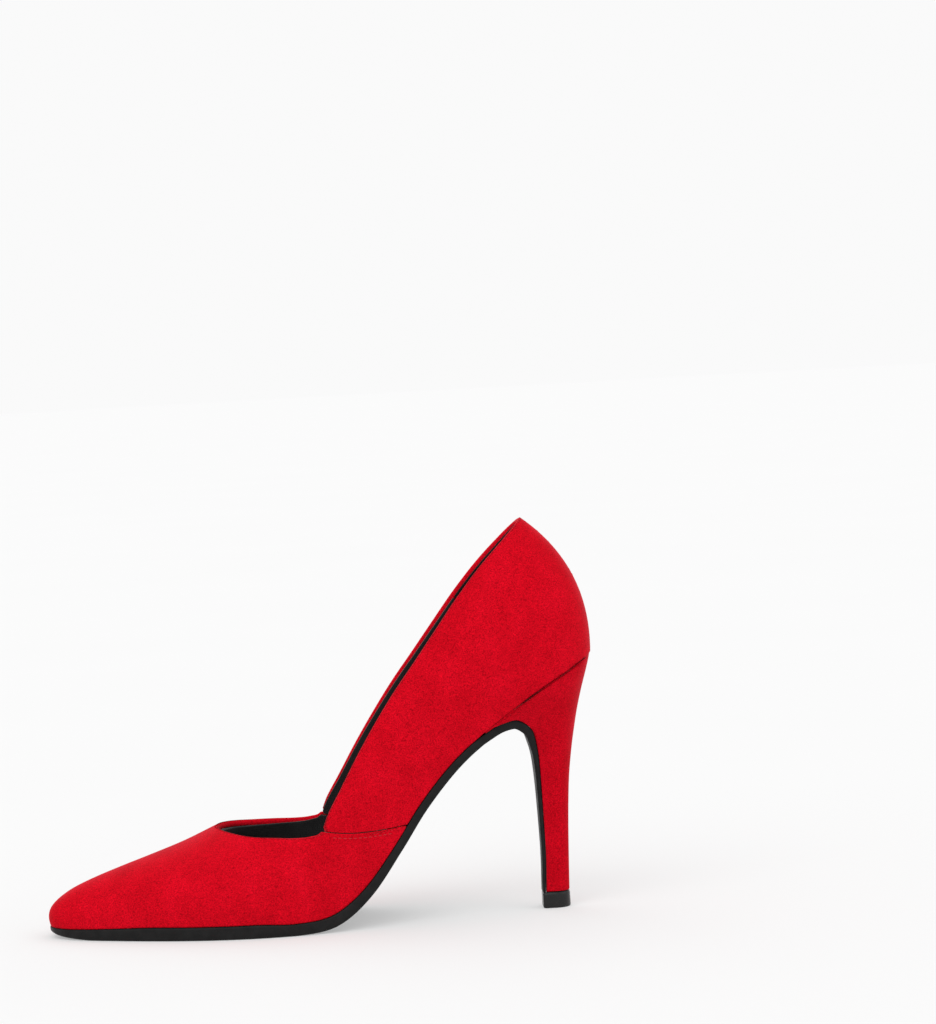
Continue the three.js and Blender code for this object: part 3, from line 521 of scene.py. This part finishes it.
def cloth(name, dark, light, thread=0.45, roughness=0.9, sheen=0.25):
    """Woven lining or interlining, with threads of the given width in mm."""
    mat, tree, shader = material(name, light, roughness, specular=0.2)
    place = object_coordinates(tree)
    scale = 1000 / thread / 2
    waves = []
    for axis in ("X", "Z"):
        wave = add(tree, "ShaderNodeTexWave", Scale=scale / 3.2, Distortion=1.2, Detail=2.0)
        wave.bands_direction = axis
        tree.links.new(place, wave.inputs["Vector"])
        waves.append(wave.outputs["Fac"])
    weave = add(tree, "ShaderNodeMath", operation="MULTIPLY")
    tree.links.new(waves[0], weave.inputs[0])
    tree.links.new(waves[1], weave.inputs[1])
    tone = colour_ramp(tree, noise(tree, place, 140, 4), [(0.3, dark), (0.7, light)])
    threads = colour_ramp(tree, weave.outputs[0], [(0.0, grey(0.7)), (0.8, grey(1.15))])
    colour = mix_colour(tree, "MULTIPLY", 0.8, tone, threads)
    tree.links.new(colour, shader.inputs["Base Color"])
    bump(tree, shader, weave.outputs[0], 0.4, 0.15)
    shader.inputs["Sheen Weight"].default_value = sheen
    shader.inputs["Sheen Roughness"].default_value = 0.5
    return mat


def grained(name, dark, light, scale, roughness, depth=0.2, metallic=0.0, specular=0.5,
            stretch=None):
    """Board, leather, foam, moulded plastic or metal with a grain of its own scale."""
    mat, tree, shader = material(name, light, roughness, metallic, specular)
    place = object_coordinates(tree, stretch)
    tone = colour_ramp(tree, noise(tree, place, scale, 5, 0.6), [(0.3, dark), (0.7, light)])
    tree.links.new(tone, shader.inputs["Base Color"])
    low, high = max(roughness - 0.08, 0.05), min(roughness + 0.08, 1.0)
    rough = colour_ramp(tree, noise(tree, place, scale * 0.4, 3),
                        [(0.3, grey(low)), (0.7, grey(high))])
    tree.links.new(rough, shader.inputs["Roughness"])
    bump(tree, shader, noise(tree, place, scale, 5, 0.6), 0.3, depth)
    return mat


RED = suede("red_suede", (0.50, 0.0018, 0.009), (0.57, 0.0022, 0.011), (0.63, 0.0027, 0.014))
HEEL_RED = suede("heel_suede", (0.45, 0.0016, 0.008), (0.51, 0.0020, 0.010),
                 (0.57, 0.0025, 0.013))
RUBBER = moulded_rubber()
LINING_CLOTH = cloth("lining_cloth", grey(0.010), grey(0.020), 0.4)
GRIP = suede("heel_grip_nap", grey(0.010), grey(0.016), grey(0.024))
SOCK_LEATHER = grained("sock_leather", grey(0.010), grey(0.020), 700, 0.5, 0.15)
INTERLINING = cloth("interlining_cloth", (0.62, 0.58, 0.48), (0.78, 0.74, 0.65), 0.6)
STIFF = grained("stiffener_sheet", (0.50, 0.42, 0.28), (0.66, 0.58, 0.42), 300, 0.6)
FOAM = grained("foam", (0.72, 0.68, 0.56), (0.85, 0.81, 0.70), 900, 0.95, 0.35)
FIBRE = grained("fibre_board", (0.38, 0.24, 0.12), (0.52, 0.35, 0.19), 240, 0.9, 0.3)
SHANK_FIBRE = grained("shank_board_fibre", (0.21, 0.13, 0.07), (0.31, 0.2, 0.11), 240, 0.9, 0.3)
FILLER = grained("filler_felt", (0.30, 0.22, 0.13), (0.44, 0.34, 0.22), 400, 1.0, 0.4)
PLASTIC = grained("heel_plastic", grey(0.012), grey(0.018), 120, 0.45, 0.08)
TIP_PLASTIC = grained("top_piece_plastic", grey(0.006), grey(0.010), 500, 0.24, 0.06,
                      specular=0.3)
STEEL = grained("zinc_steel", (0.42, 0.43, 0.44), (0.60, 0.61, 0.62), 500, 0.32, 0.05,
                metallic=1.0, stretch=(1, 1, 0.15))
THREAD = grained("thread", (0.34, 0.001, 0.006), (0.50, 0.002, 0.010), 2500, 0.6, 0.1)
PALE_THREAD = grained("pale_thread", (0.70, 0.30, 0.30), (0.90, 0.62, 0.60), 2500, 0.6, 0.1)


# ---------------------------------------------------------------- closed upper
def steps(*parts):
    """Rising values from (start, end, count) parts laid end to end."""
    values = np.concatenate([np.linspace(a, b, n, endpoint=False) for a, b, n in parts])
    return np.append(values, parts[-1][1])


THROAT_SPREAD = THROAT + 0.5 * steps((0, 1, 16)) ** 2
ALL_STATIONS = np.unique(np.round(np.concatenate([
    3.0 * steps((0, 1, 16)) ** 1.5, steps((3, 7, 20)), THROAT_SPREAD,
    steps((7.5, 16, 85)), steps((16, 18, 26)), steps((18, 19, 18)),
]), 5))
SOLE_STATIONS = np.unique(np.round(np.concatenate([
    3.0 * steps((0, 1, 18)) ** 1.6, steps((3, 14.4, 80)),
]), 5))
SEAT_STATIONS = np.unique(np.round(np.concatenate([
    3.0 * steps((0, 1, 14)) ** 1.6, steps((3, 16, 66)), steps((16, 19, 24)),
]), 5))


def between(values, start, end, extra=()):
    inside = [t for t in sorted([*values, *extra]) if start + 0.01 < t < end - 0.01]
    return np.array([start, *inside, end])


def vamp_top(t):
    """Angle of the vamp's upper edge: the topline, then the side seam."""
    trim = angle_at_height(t, GAP / 2)
    return np.where(t < CORNER, topline_angle(t), seam_angle(t) - trim)


def quarter_bottom(t):
    """Angle of the quarter's lower edge: the side seam, then the feather line."""
    trim = angle_at_height(t, GAP / 2)
    return np.where(t < SEAM_FOOT, seam_angle(t) + trim, 0)


def row_angles(low, high, reach_low, reach_high, rows=22, fine=8):
    """Angles from low to high, closer together near both ends."""
    width = high - low
    first = np.minimum(reach_low, width * 0.3)
    last = np.minimum(reach_high, width * 0.35)
    start = low[:, None] + first[:, None] * steps((0, 1, 4))[None, :-1]
    span = (width - first - last)[:, None]
    middle = (low + first)[:, None] + span * steps((0, 1, rows))[None, :-1]
    end = (high - last)[:, None] + last[:, None] * steps((0, 1, fine))[None, :]
    return np.concatenate([start, middle, end], 1)


def angle_reach(t, a, side, length):
    """Angle that spans a length in mm along the wall at station t."""
    moved = last_point(t, a, side) - last_point(t, a - STEP, side)
    speed = np.linalg.norm(moved, axis=-1) / STEP
    return length / np.maximum(speed, 1)


def edge_distance(t, angles, top, side):
    """Distance in mm from each row to the top edge of its column."""
    p = last_point(t[:, None], angles, side)
    q = last_point(t, top, side)[:, None, :]
    return np.linalg.norm(p - q, axis=-1)


def upper_patch(t, side, low, high, margin, inner_fold, proud):
    """One side of the suede with its lasting margin, a folded top edge and a raised lap."""
    angles = row_angles(low, high, angle_reach(t, low + 0.02, side, 2.5),
                        angle_reach(t, high, side, 5.0))
    stations = np.repeat(t[:, None], angles.shape[1], 1)
    distance = edge_distance(t, angles, high, side)
    outside = wall_point(stations, angles, side, -proud(stations, distance))
    inside = wall_point(stations, angles, side, UPPER + inner_fold(stations, distance))
    width = margin(t)
    rim_out = bottom_point(t, side, width, 0)
    rim_in = bottom_point(t, side, width, UPPER)
    lean = -np.sum(last_normal(t, 0 * t, side) * bottom_up(t), -1)
    corner_in = bottom_point(t, side, UPPER * np.sqrt((1 - lean) / (1 + lean)), UPPER)
    turned = width > 0
    inside[:, 0] = np.where(turned[:, None], corner_in, inside[:, 0])
    rim_out = np.where(turned[:, None], rim_out, outside[:, 0])
    rim_in = np.where(turned[:, None], rim_in, inside[:, 0])
    half_out = np.where(turned[:, None], (rim_out + outside[:, 0]) / 2, outside[:, 0])
    half_in = np.where(turned[:, None], (rim_in + inside[:, 0]) / 2, inside[:, 0])
    outside = np.concatenate([rim_out[:, None], half_out[:, None], outside], 1)
    inside = np.concatenate([rim_in[:, None], half_in[:, None], inside], 1)
    return outside, inside, side == INNER


FOLD_DEPTH = 1.3
BACK_SEAM = 0.015


def vamp_fold(t, distance):
    """The topline edge is folded over inside; the crown seamless in front of the throat."""
    near = 1 - ease(np.clip((distance - 2.6) / 1.2, 0, 1))
    return FOLD_DEPTH * near * ((t > THROAT - 1e-6) & (t < CORNER + 0.02))


def vamp_lap(t, distance):
    """The vamp laps over the quarter: its folded edge stands proud, with a stitched groove."""
    on = ease(ramp(t, CORNER - 0.1, CORNER + 0.25)) * (t > CORNER - 0.1)
    lap = 0.30 * (1 - ease(np.clip((distance - 2.2) / 2.0, 0, 1)))
    groove = 0.22 * np.exp(-((distance - 2.0) / 0.42) ** 2)
    return on * (lap - groove)


def quarter_fold(t, distance):
    return FOLD_DEPTH * (1 - ease(np.clip((distance - 2.6) / 1.2, 0, 1)))


def no_offset(t, distance):
    return 0 * distance


def quarter_margin(t):
    return margin_width(t) * ramp(t, *QUARTER_FOOT)


def make_vamp():
    t = between(ALL_STATIONS, 0, VAMP_END, [CORNER])
    patches = [upper_patch(t, side, 0 * t, vamp_top(t), margin_width, vamp_fold, vamp_lap)
               for side in SIDES]
    mesh_object("vamp_suede", *shell(patches, 0.7), RED, slot="suede", replaces=["vamp"])


def make_quarter(side, name, node):
    t = between(ALL_STATIONS, QUARTER_START, BACK - BACK_SEAM, QUARTER_FOOT)
    patch = upper_patch(t, side, quarter_bottom(t), topline_angle(t), quarter_margin,
                        quarter_fold, no_offset)
    mesh_object(name, *shell([patch], 0.6), RED, slot="suede", replaces=[node])


make_vamp()
make_quarter(OUTER, "quarter_suede_lateral", "quarter_lateral")
make_quarter(INNER, "quarter_suede_medial", "quarter_medial")


# ---------------------------------------------------------------- layers inside the upper
def layer(t, side, low, high, depths, drop, rows=20):
    """One side of a layer between two depths, its top edge dropped below the topline."""
    floor = angle_at_height(t, INSOLE_BASE + 0.2)
    low = np.maximum(low, floor)
    high = high - np.where(t > THROAT - 1e-6, angle_reach(t, high, side, drop), 0)
    high = np.maximum(high, low + STEP)
    angles = low[:, None] + (high - low)[:, None] * steps((0, 1, rows))[None, :]
    stations = np.repeat(t[:, None], rows + 1, 1)
    return (wall_point(stations, angles, side, depths[0]),
            wall_point(stations, angles, side, depths[1]), side == INNER)


def vamp_layer(start, end, side, depths, drop):
    t = between(ALL_STATIONS, start, end, [CORNER])
    return layer(t, side, 0 * t, vamp_top(t), depths, drop)


def quarter_layer(start, end, side, depths, drop, share=1.0):
    t = between(ALL_STATIONS, start, end, QUARTER_FOOT)
    low, high = quarter_bottom(t), topline_angle(t)
    return layer(t, side, low, low + (high - low) * share, depths, drop)


FOLD_DROP = 4.2
LINING_DROP = 0.5
PUFF_END, INTERLINING_START = 3.6, 3.63
VAMP_LINING_END = 12.15
INTERLINING_END, COUNTER_START = 14.17, 14.2
LINING_END, GRIP_START = 15.57, 15.6
COUNTER_SHARE = 0.7
CUSHION_END = 9.65
SOCK_CLEARANCE = 0.2


def make_layers():
    layers = {
        "toe_puff_sheet": ("toe_puff", STIFF, "stiffener", [
            vamp_layer(0, PUFF_END, side, STIFFENER, 0) for side in SIDES]),
        "vamp_interlining_cloth": ("vamp_interlining", INTERLINING, "interlining", [
            vamp_layer(INTERLINING_START, VAMP_LINING_END, side, STIFFENER, FOLD_DROP)
            for side in SIDES]),
        "heel_counter_sheet": ("heel_counter", STIFF, "stiffener", [
            quarter_layer(COUNTER_START, BACK, side, STIFFENER, 0, COUNTER_SHARE)
            for side in SIDES]),
        "vamp_lining_cloth": ("vamp_lining", LINING_CLOTH, "lining", [
            vamp_layer(0, VAMP_LINING_END, side, LINING, LINING_DROP) for side in SIDES]),
        "heel_grip_nap": ("heel_grip", GRIP, "heel_grip", [
            quarter_layer(GRIP_START, BACK, side, LINING, LINING_DROP) for side in SIDES]),
    }
    for side, word in ((OUTER, "lateral"), (INNER, "medial")):
        layers[f"quarter_interlining_cloth_{word}"] = (
            f"quarter_interlining_{word}", INTERLINING, "interlining",
            [quarter_layer(QUARTER_START, INTERLINING_END, side, STIFFENER, FOLD_DROP)])
        layers[f"quarter_lining_cloth_{word}"] = (
            f"quarter_lining_{word}", LINING_CLOTH, "lining",
            [quarter_layer(QUARTER_START, LINING_END, side, LINING, LINING_DROP)])
    for name, (node, look, slot, patches) in layers.items():
        mesh_object(name, *shell(patches, 0.5, 4), look, slot=slot, replaces=[node])


make_layers()


def bottom_sheet(t, inset, base, thick, rows=14):
    """Flat layer of the bottom between two heights, its upper face outside."""
    f = steps((0, 1, rows))[None, :, None]

    def face(height):
        return (bottom_point(t, OUTER, inset, height)[:, None] * (1 - f)
                + bottom_point(t, INNER, inset, height)[:, None] * f)

    return face(base + thick), face(base), False


def make_bottom_layers():
    sock = bottom_sheet(between(SEAT_STATIONS, 0, BACK), INSIDE + SOCK_CLEARANCE, SOCK_BASE, SOCK)
    mesh_object("sock_leather", *shell([sock], 0.6), SOCK_LEATHER, slot="sock",
                replaces=["sock_lining"])
    foam = bottom_sheet(between(SEAT_STATIONS, 0, CUSHION_END), INSIDE, BOARD_BASE, CUSHION)
    cushion = mesh_object("forepart_foam", *shell([foam], 0.9), FOAM, slot="foam",
                          replaces=["forepart_cushion"])


make_bottom_layers()


# ---------------------------------------------------------------- outsole
def sole_thickness(t):
    """Skived thin at the toe and the arch, and level with the ground between them."""
    ground = foot_z(t) - GAP
    toe = SOLE_TOE + (SOLE_TREAD - SOLE_TOE) * ramp(t, 0, TREAD[0])
    waist = SOLE_BALL + (SOLE_ARCH - SOLE_BALL) * ramp(t, 10, 12)
    thick = np.minimum(np.where(t < THROAT, toe, waist), ground)
    return np.where((t > TREAD[0]) & (t < TREAD[1]), ground, thick)


def sole_ring(edge_a, rim_a, edge_b, rim_b, down, thick):
    """Ring round the sole: flat top, rounded lower edges and the tread between them."""
    bevel = min(SOLE_BEVEL, thick * 0.5)
    top = [edge_a + (edge_b - edge_a) * f for f in steps((0, 1, 8))]
    tread = [rim_b + (rim_a - rim_b) * f for f in steps((0, 1, 12))]

    def corner(edge, rim):
        points = [edge + down * 0.15 * thick, edge + down * 0.4 * thick]
        for turn in np.linspace(0, math.pi / 2, 6)[:-1]:
            inward = 1 - math.cos(turn)
            depth = thick - bevel + bevel * math.sin(turn)
            points.append(edge + (rim - edge) * inward + down * depth)
        return points

    lower = [p + down * thick for p in tread]
    return [*top, *corner(edge_b, rim_b), *lower, *corner(edge_a, rim_a)[::-1]]


def between_rows(table, row):
    """Smooth values of a table between its rows."""
    i = np.clip(np.floor(row).astype(int), 0, len(table) - 2)
    rows = [table[np.clip(i + k, 0, len(table) - 1)] for k in (-1, 0, 1, 2)]
    return hermite(*rows, (row - i)[..., None])


def make_outsole():
    t = SOLE_STATIONS
    edge = {s: bottom_point(t, s, -SOLE_EDGE, -GAP) for s in SIDES}
    rim = {s: bottom_point(t, s, SOLE_BEVEL, -GAP) for s in SIDES}
    down, thick = -bottom_up(t), sole_thickness(t)
    rings = [sole_ring(edge[OUTER][i], rim[OUTER][i], edge[INNER][i], rim[INNER][i],
                       down[i], thick[i]) for i in range(len(t))]
    fine = between_rows(FLAP, np.linspace(0, len(FLAP) - 1, 60))
    for i, (x, z, half, depth) in enumerate(fine):
        a, b = fine[max(i - 1, 0)], fine[min(i + 1, len(fine) - 1)]
        away = unit(np.array([b[1] - a[1], 0, a[0] - b[0]]))
        across = [np.array([x, y, z]) for y in (-half, SOLE_BEVEL - half, half, half - SOLE_BEVEL)]
        rings.append(sole_ring(*across, away, depth))
    points, faces = loft(rings)
    ring_points, ring_faces = size_ring()
    shifted = [[v + len(points) for v in face] for face in ring_faces]
    mesh_object("outsole_rubber", np.concatenate([points, ring_points]), faces + shifted, RUBBER,
                slot="sole_rubber", replaces=["outsole"])


def size_ring(station=10.2, radius=4.7, width=0.55, height=0.28, around=64, section=8):
    """Blank raised ring moulded in the sole behind the ball."""
    ahead = 0.01
    moved = last_point(station + ahead, 0, OUTER) - last_point(station, 0, OUTER)
    step = np.linalg.norm(moved) / ahead
    rings = []
    for turn in np.linspace(0, 2 * math.pi, around, endpoint=False):
        row = []
        for angle in np.linspace(0, 2 * math.pi, section, endpoint=False):
            r = radius + width / 2 * math.cos(angle)
            t = station + r * math.cos(turn) / step
            p = last_point(t, 0, OUTER)
            p[1] = r * math.sin(turn) + float(centre(station))
            depth = GAP + float(sole_thickness(t)) + height * math.sin(angle)
            row.append(p - bottom_up(t) * depth)
        rings.append(row)
    faces = []
    for i in range(around):
        for k in range(section):
            a, b = i * section, ((i + 1) % around) * section
            n = (k + 1) % section
            faces.append([a + k, b + k, b + n, a + n])
    return outward([p for row in rings for p in row], faces)


make_outsole()


# ---------------------------------------------------------------- heel and top piece
def heel_point(t, row, side):
    """Point on the heel: station t along it, row from the tip to the seat."""
    t, row = np.broadcast_arrays(np.asarray(t, float), np.asarray(row, float))
    section = between_rows(HEEL_SECTIONS, row)
    front_x, front_z, back_x, back_z, half, crown = (section[..., k] for k in range(6))
    start, end = foot_x(SEAT_FRONT), foot_x(BACK)
    f = (foot_x(t) - start) / (end - start)
    circle = np.sqrt(np.maximum(1 - (2 * f - 1) ** 2, 0)) * np.where(t > BACK, -1, 1)
    flank = HEEL_CORNER + (1 - HEEL_CORNER) * np.sin(math.pi * f)
    low = np.stack([
        front_x + (back_x - front_x) * f,
        side * half * np.where(f < 0.5, flank, circle),
        front_z + (back_z - front_z) * f + crown * 4 * f * (1 - f),
    ], -1)
    blend = ease(np.clip((row - HEEL_TOP + SEAT_ROWS) / SEAT_ROWS, 0, 1))[..., None]
    return low * (1 - blend) + bottom_point(t, side, SEAT_INSET, -COVER_GAP) * blend


def heel_normal(t, row, side):
    along = heel_point(t + STEP, row, side) - heel_point(t - STEP, row, side)
    up = (heel_point(t, np.minimum(row + SLOPE_REACH, HEEL_TOP), side)
          - heel_point(t, np.maximum(row - SLOPE_REACH, 0), side))
    normal = np.cross(along, up) * -side
    normal[..., 1] = np.where(t == BACK, 0, normal[..., 1])
    return unit(normal)


def make_heel_cover():
    t = np.unique(np.round(np.concatenate([
        steps((SEAT_FRONT, 16.5, 12)), 19 - 2.5 * steps((0, 1, 26))[::-1] ** 1.5]), 5))
    rows = steps((0, 3, 14), (3, HEEL_TOP, 46))
    stations, levels = np.meshgrid(t, rows, indexing="ij")
    patches = []
    for side in SIDES:
        surface = heel_point(stations, levels, side)
        normal = heel_normal(stations, levels, side)
        patches.append((surface, surface - normal * COVER, side == INNER))
    mesh_object("heel_suede", *shell(patches, 0.5), HEEL_RED, slot="suede",
                replaces=["heel_cover"])


make_heel_cover()


def tip_outline(grow, count=40):
    """D-shaped outline of the top piece, from its front outer corner round the back."""
    front, back, half = TIP_FRONT - grow, TIP_BACK + grow, TIP_HALF + grow
    reach = (back - front) * 0.52
    corner = HEEL_CORNER * half
    r = 0.9
    points = []
    for turn in np.linspace(math.pi, 1.5 * math.pi, 6):
        points.append((front + r + r * math.cos(turn), -(corner - r) + r * math.sin(turn)))
    for turn in np.linspace(-math.pi / 2, math.pi / 2, count):
        points.append((back - reach + reach * math.cos(turn), half * math.sin(turn)))
    for turn in np.linspace(0.5 * math.pi, math.pi, 6):
        points.append((front + r + r * math.cos(turn), corner - r + r * math.sin(turn)))
    return points


def make_top_piece():
    rings = [[np.array([x, y, z]) for x, y in tip_outline(grow)] for z, grow in TIP_LEVELS]
    mesh_object("top_piece_plastic", *loft(rings, True, True), TIP_PLASTIC, body="heel_tip",
                slot="top_piece_plastic", replaces=["top_piece"])


make_top_piece()


# ---------------------------------------------------------------- stitches
def stitch(points, faces, middle, along, normal, length, width):
    """Adds one thread stitch, a small spindle half sunk in the leather."""
    along, normal = unit(along), unit(normal)
    across = np.cross(along, normal)
    base = len(points)
    around = 8
    rows = [(-0.5, 0.15), (-0.4, 0.75), (-0.2, 1.0), (0.2, 1.0), (0.4, 0.75), (0.5, 0.15)]
    for place, size in rows:
        for k in range(around):
            turn = 2 * math.pi * k / around
            ring = across * math.cos(turn) + normal * math.sin(turn)
            points.append(middle + along * place * length + ring * size * width / 2)
    for i in range(len(rows) - 1):
        for k in range(around):
            n = (k + 1) % around
            a, b = base + i * around, base + (i + 1) * around
            faces.append([a + k, b + k, b + n, a + n])
    faces.append([base + k for k in range(around)])
    faces.append([base + (len(rows) - 1) * around + k for k in reversed(range(around))])


def seam_path(t, side, below):
    """Points and normals on the outer surface, a distance below the side seam."""
    a = vamp_top(t) - angle_reach(t, vamp_top(t), side, below)
    return last_point(t, a, side), last_normal(t, a, side)


def evenly(points, pitch):
    """Fractional indices along a path that lie one pitch apart."""
    steps_along = np.linalg.norm(np.diff(points, axis=0), axis=1)
    length = np.concatenate([[0], np.cumsum(steps_along)])
    places = np.arange(pitch / 2, length[-1], pitch)
    return np.interp(places, length, np.arange(len(points)))


def at_index(values, i):
    k = np.arange(len(values))
    return np.stack([np.interp(i, k, values[:, c]) for c in range(values.shape[1])], -1)


def make_seam_stitches(side, name):
    t = np.linspace(CORNER + 0.3, SEAM_FOOT - 0.35, 160)
    path, normal = seam_path(t, side, 2.0)
    places = evenly(path, 2.1)
    middles, normals = at_index(path, places), at_index(normal, places)
    ahead = at_index(path, places + 0.5)
    points, faces = [], []
    for p, q, n in zip(middles, ahead, normals):
        n = unit(n)
        stitch(points, faces, p + n * 0.05, q - p, n, 1.45, 0.42)
    mesh_object(name, *outward(points, faces), THREAD, slot="suede")


make_seam_stitches(OUTER, "seam_stitches_lateral")
make_seam_stitches(INNER, "seam_stitches_medial")


def make_back_stitches():
    """Closed back seam: a few pale thread ends stand in the groove."""
    rows = np.linspace(0.14, float(topline_angle(BACK)) - 0.1, 60)
    t = np.full_like(rows, float(BACK))
    path = last_point(t, rows, OUTER)
    normal = last_normal(t - 0.02, rows, OUTER)
    normal[:, 1] = 0
    points, faces = [], []
    for place, lean in ((14, 0.5), (23, -0.6), (26, 0.4), (44, 0.7), (53, -0.4)):
        along = path[place + 1] - path[place]
        along = unit(along) + np.array([0, lean, 0])
        shift = np.array([0, 0.35 * np.sign(lean), 0])
        stitch(points, faces, path[place] + shift, along, normal[place], 1.1, 0.3)
    mesh_object("back_seam_threads", *outward(points, faces), PALE_THREAD, slot="suede")


make_back_stitches()


# ---------------------------------------------------------------- looks of the kept nodes
KEPT = {
    "insole_board": FIBRE, "shank_board": SHANK_FIBRE, "bottom_filler": FILLER,
    "steel_shank": STEEL, "shank_rivet_front": STEEL, "shank_rivet_rear": STEEL,
    "heel_core": PLASTIC, "heel_tube": STEEL, "heel_screw": STEEL, "heel_nail_1": STEEL,
    "heel_nail_2": STEEL, "heel_nail_3": STEEL, "heel_nail_4": STEEL, "top_piece_pin": STEEL,
}
for node, look in KEPT.items():
    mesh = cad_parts[node].data
    mesh.materials.clear()
    mesh.materials.append(look)


# ---------------------------------------------------------------- floor, light and camera
def make_floor():
    mat, tree, shader = material("studio_floor", grey(0.5), 1.0, specular=0.0)
    tone = colour_ramp(tree, noise(tree, object_coordinates(tree), 3, 2),
                       [(0.3, grey(0.498)), (0.7, grey(0.502))])
    tree.links.new(tone, shader.inputs["Base Color"])
    shader.inputs["Emission Color"].default_value = (1, 1, 1, 1)
    shader.inputs["Emission Strength"].default_value = 0.36
    around = 96
    points = [(0, 0, 0)]
    for radius in (0.5, 9.0, 60.0):
        points += [(radius * math.cos(2 * math.pi * k / around),
                    radius * math.sin(2 * math.pi * k / around), 0) for k in range(around)]
    faces = [[0, 1 + k, 1 + (k + 1) % around] for k in range(around)]
    for ring in range(2):
        a, b = 1 + ring * around, 1 + (ring + 1) * around
        faces += [[a + k, b + k, b + (k + 1) % around, a + (k + 1) % around]
                  for k in range(around)]
    mesh = bpy.data.meshes.new("floor")
    mesh.from_pydata(points, [], faces)
    mesh.materials.append(mat)
    floor = bpy.data.objects.new("floor", mesh)
    bpy.context.scene.collection.objects.link(floor)


def make_sun(name, place, strength, spread):
    light = bpy.data.lights.new(name, "SUN")
    light.energy = strength
    light.angle = math.radians(spread)
    obj = bpy.data.objects.new(name, light)
    obj.rotation_mode = "QUATERNION"
    obj.rotation_quaternion = Vector(place).to_track_quat("Z", "Y")
    bpy.context.scene.collection.objects.link(obj)


def make_world(strength):
    world = bpy.data.worlds.new("studio")
    world.use_nodes = True
    background = world.node_tree.nodes["Background"]
    background.inputs["Color"].default_value = (1, 1, 1, 1)
    background.inputs["Strength"].default_value = strength
    bpy.context.scene.world = world


def make_camera(place, look, roll, lens):
    data = bpy.data.cameras.new("camera")
    data.sensor_width = 36
    data.lens = lens
    data.clip_start, data.clip_end = 0.01, 100
    camera = bpy.data.objects.new("camera", data)
    camera.rotation_mode = "QUATERNION"
    aim = (Vector(look) - Vector(place)).to_track_quat("-Z", "Y")
    turn = Matrix.Rotation(roll, 4, "Z").to_quaternion()
    camera.location = place
    camera.rotation_quaternion = aim @ turn
    bpy.context.scene.collection.objects.link(camera)
    bpy.context.scene.camera = camera


SUNS = [
    ("key", (-0.45, -1.0, 1.1), 0.75),
    ("side", (1.0, -0.5, 0.8), 0.25),
    ("back", (-0.2, 1.0, 0.9), 0.2),
]
SUN_SPREAD = 50
WORLD_STRENGTH = 0.955
CAMERA_PLACE = (-0.08631, -1.30953, 0.2192)
CAMERA_LOOK = (-0.0266, -0.01205, 0.16461)
CAMERA_ROLL = -0.055
CAMERA_LENS = 112.76

make_floor()
make_world(WORLD_STRENGTH)
for name, place, strength in SUNS:
    make_sun(name, place, strength, SUN_SPREAD)
make_camera(CAMERA_PLACE, CAMERA_LOOK, CAMERA_ROLL, CAMERA_LENS)
bpy.context.scene.view_settings.view_transform = "Standard"
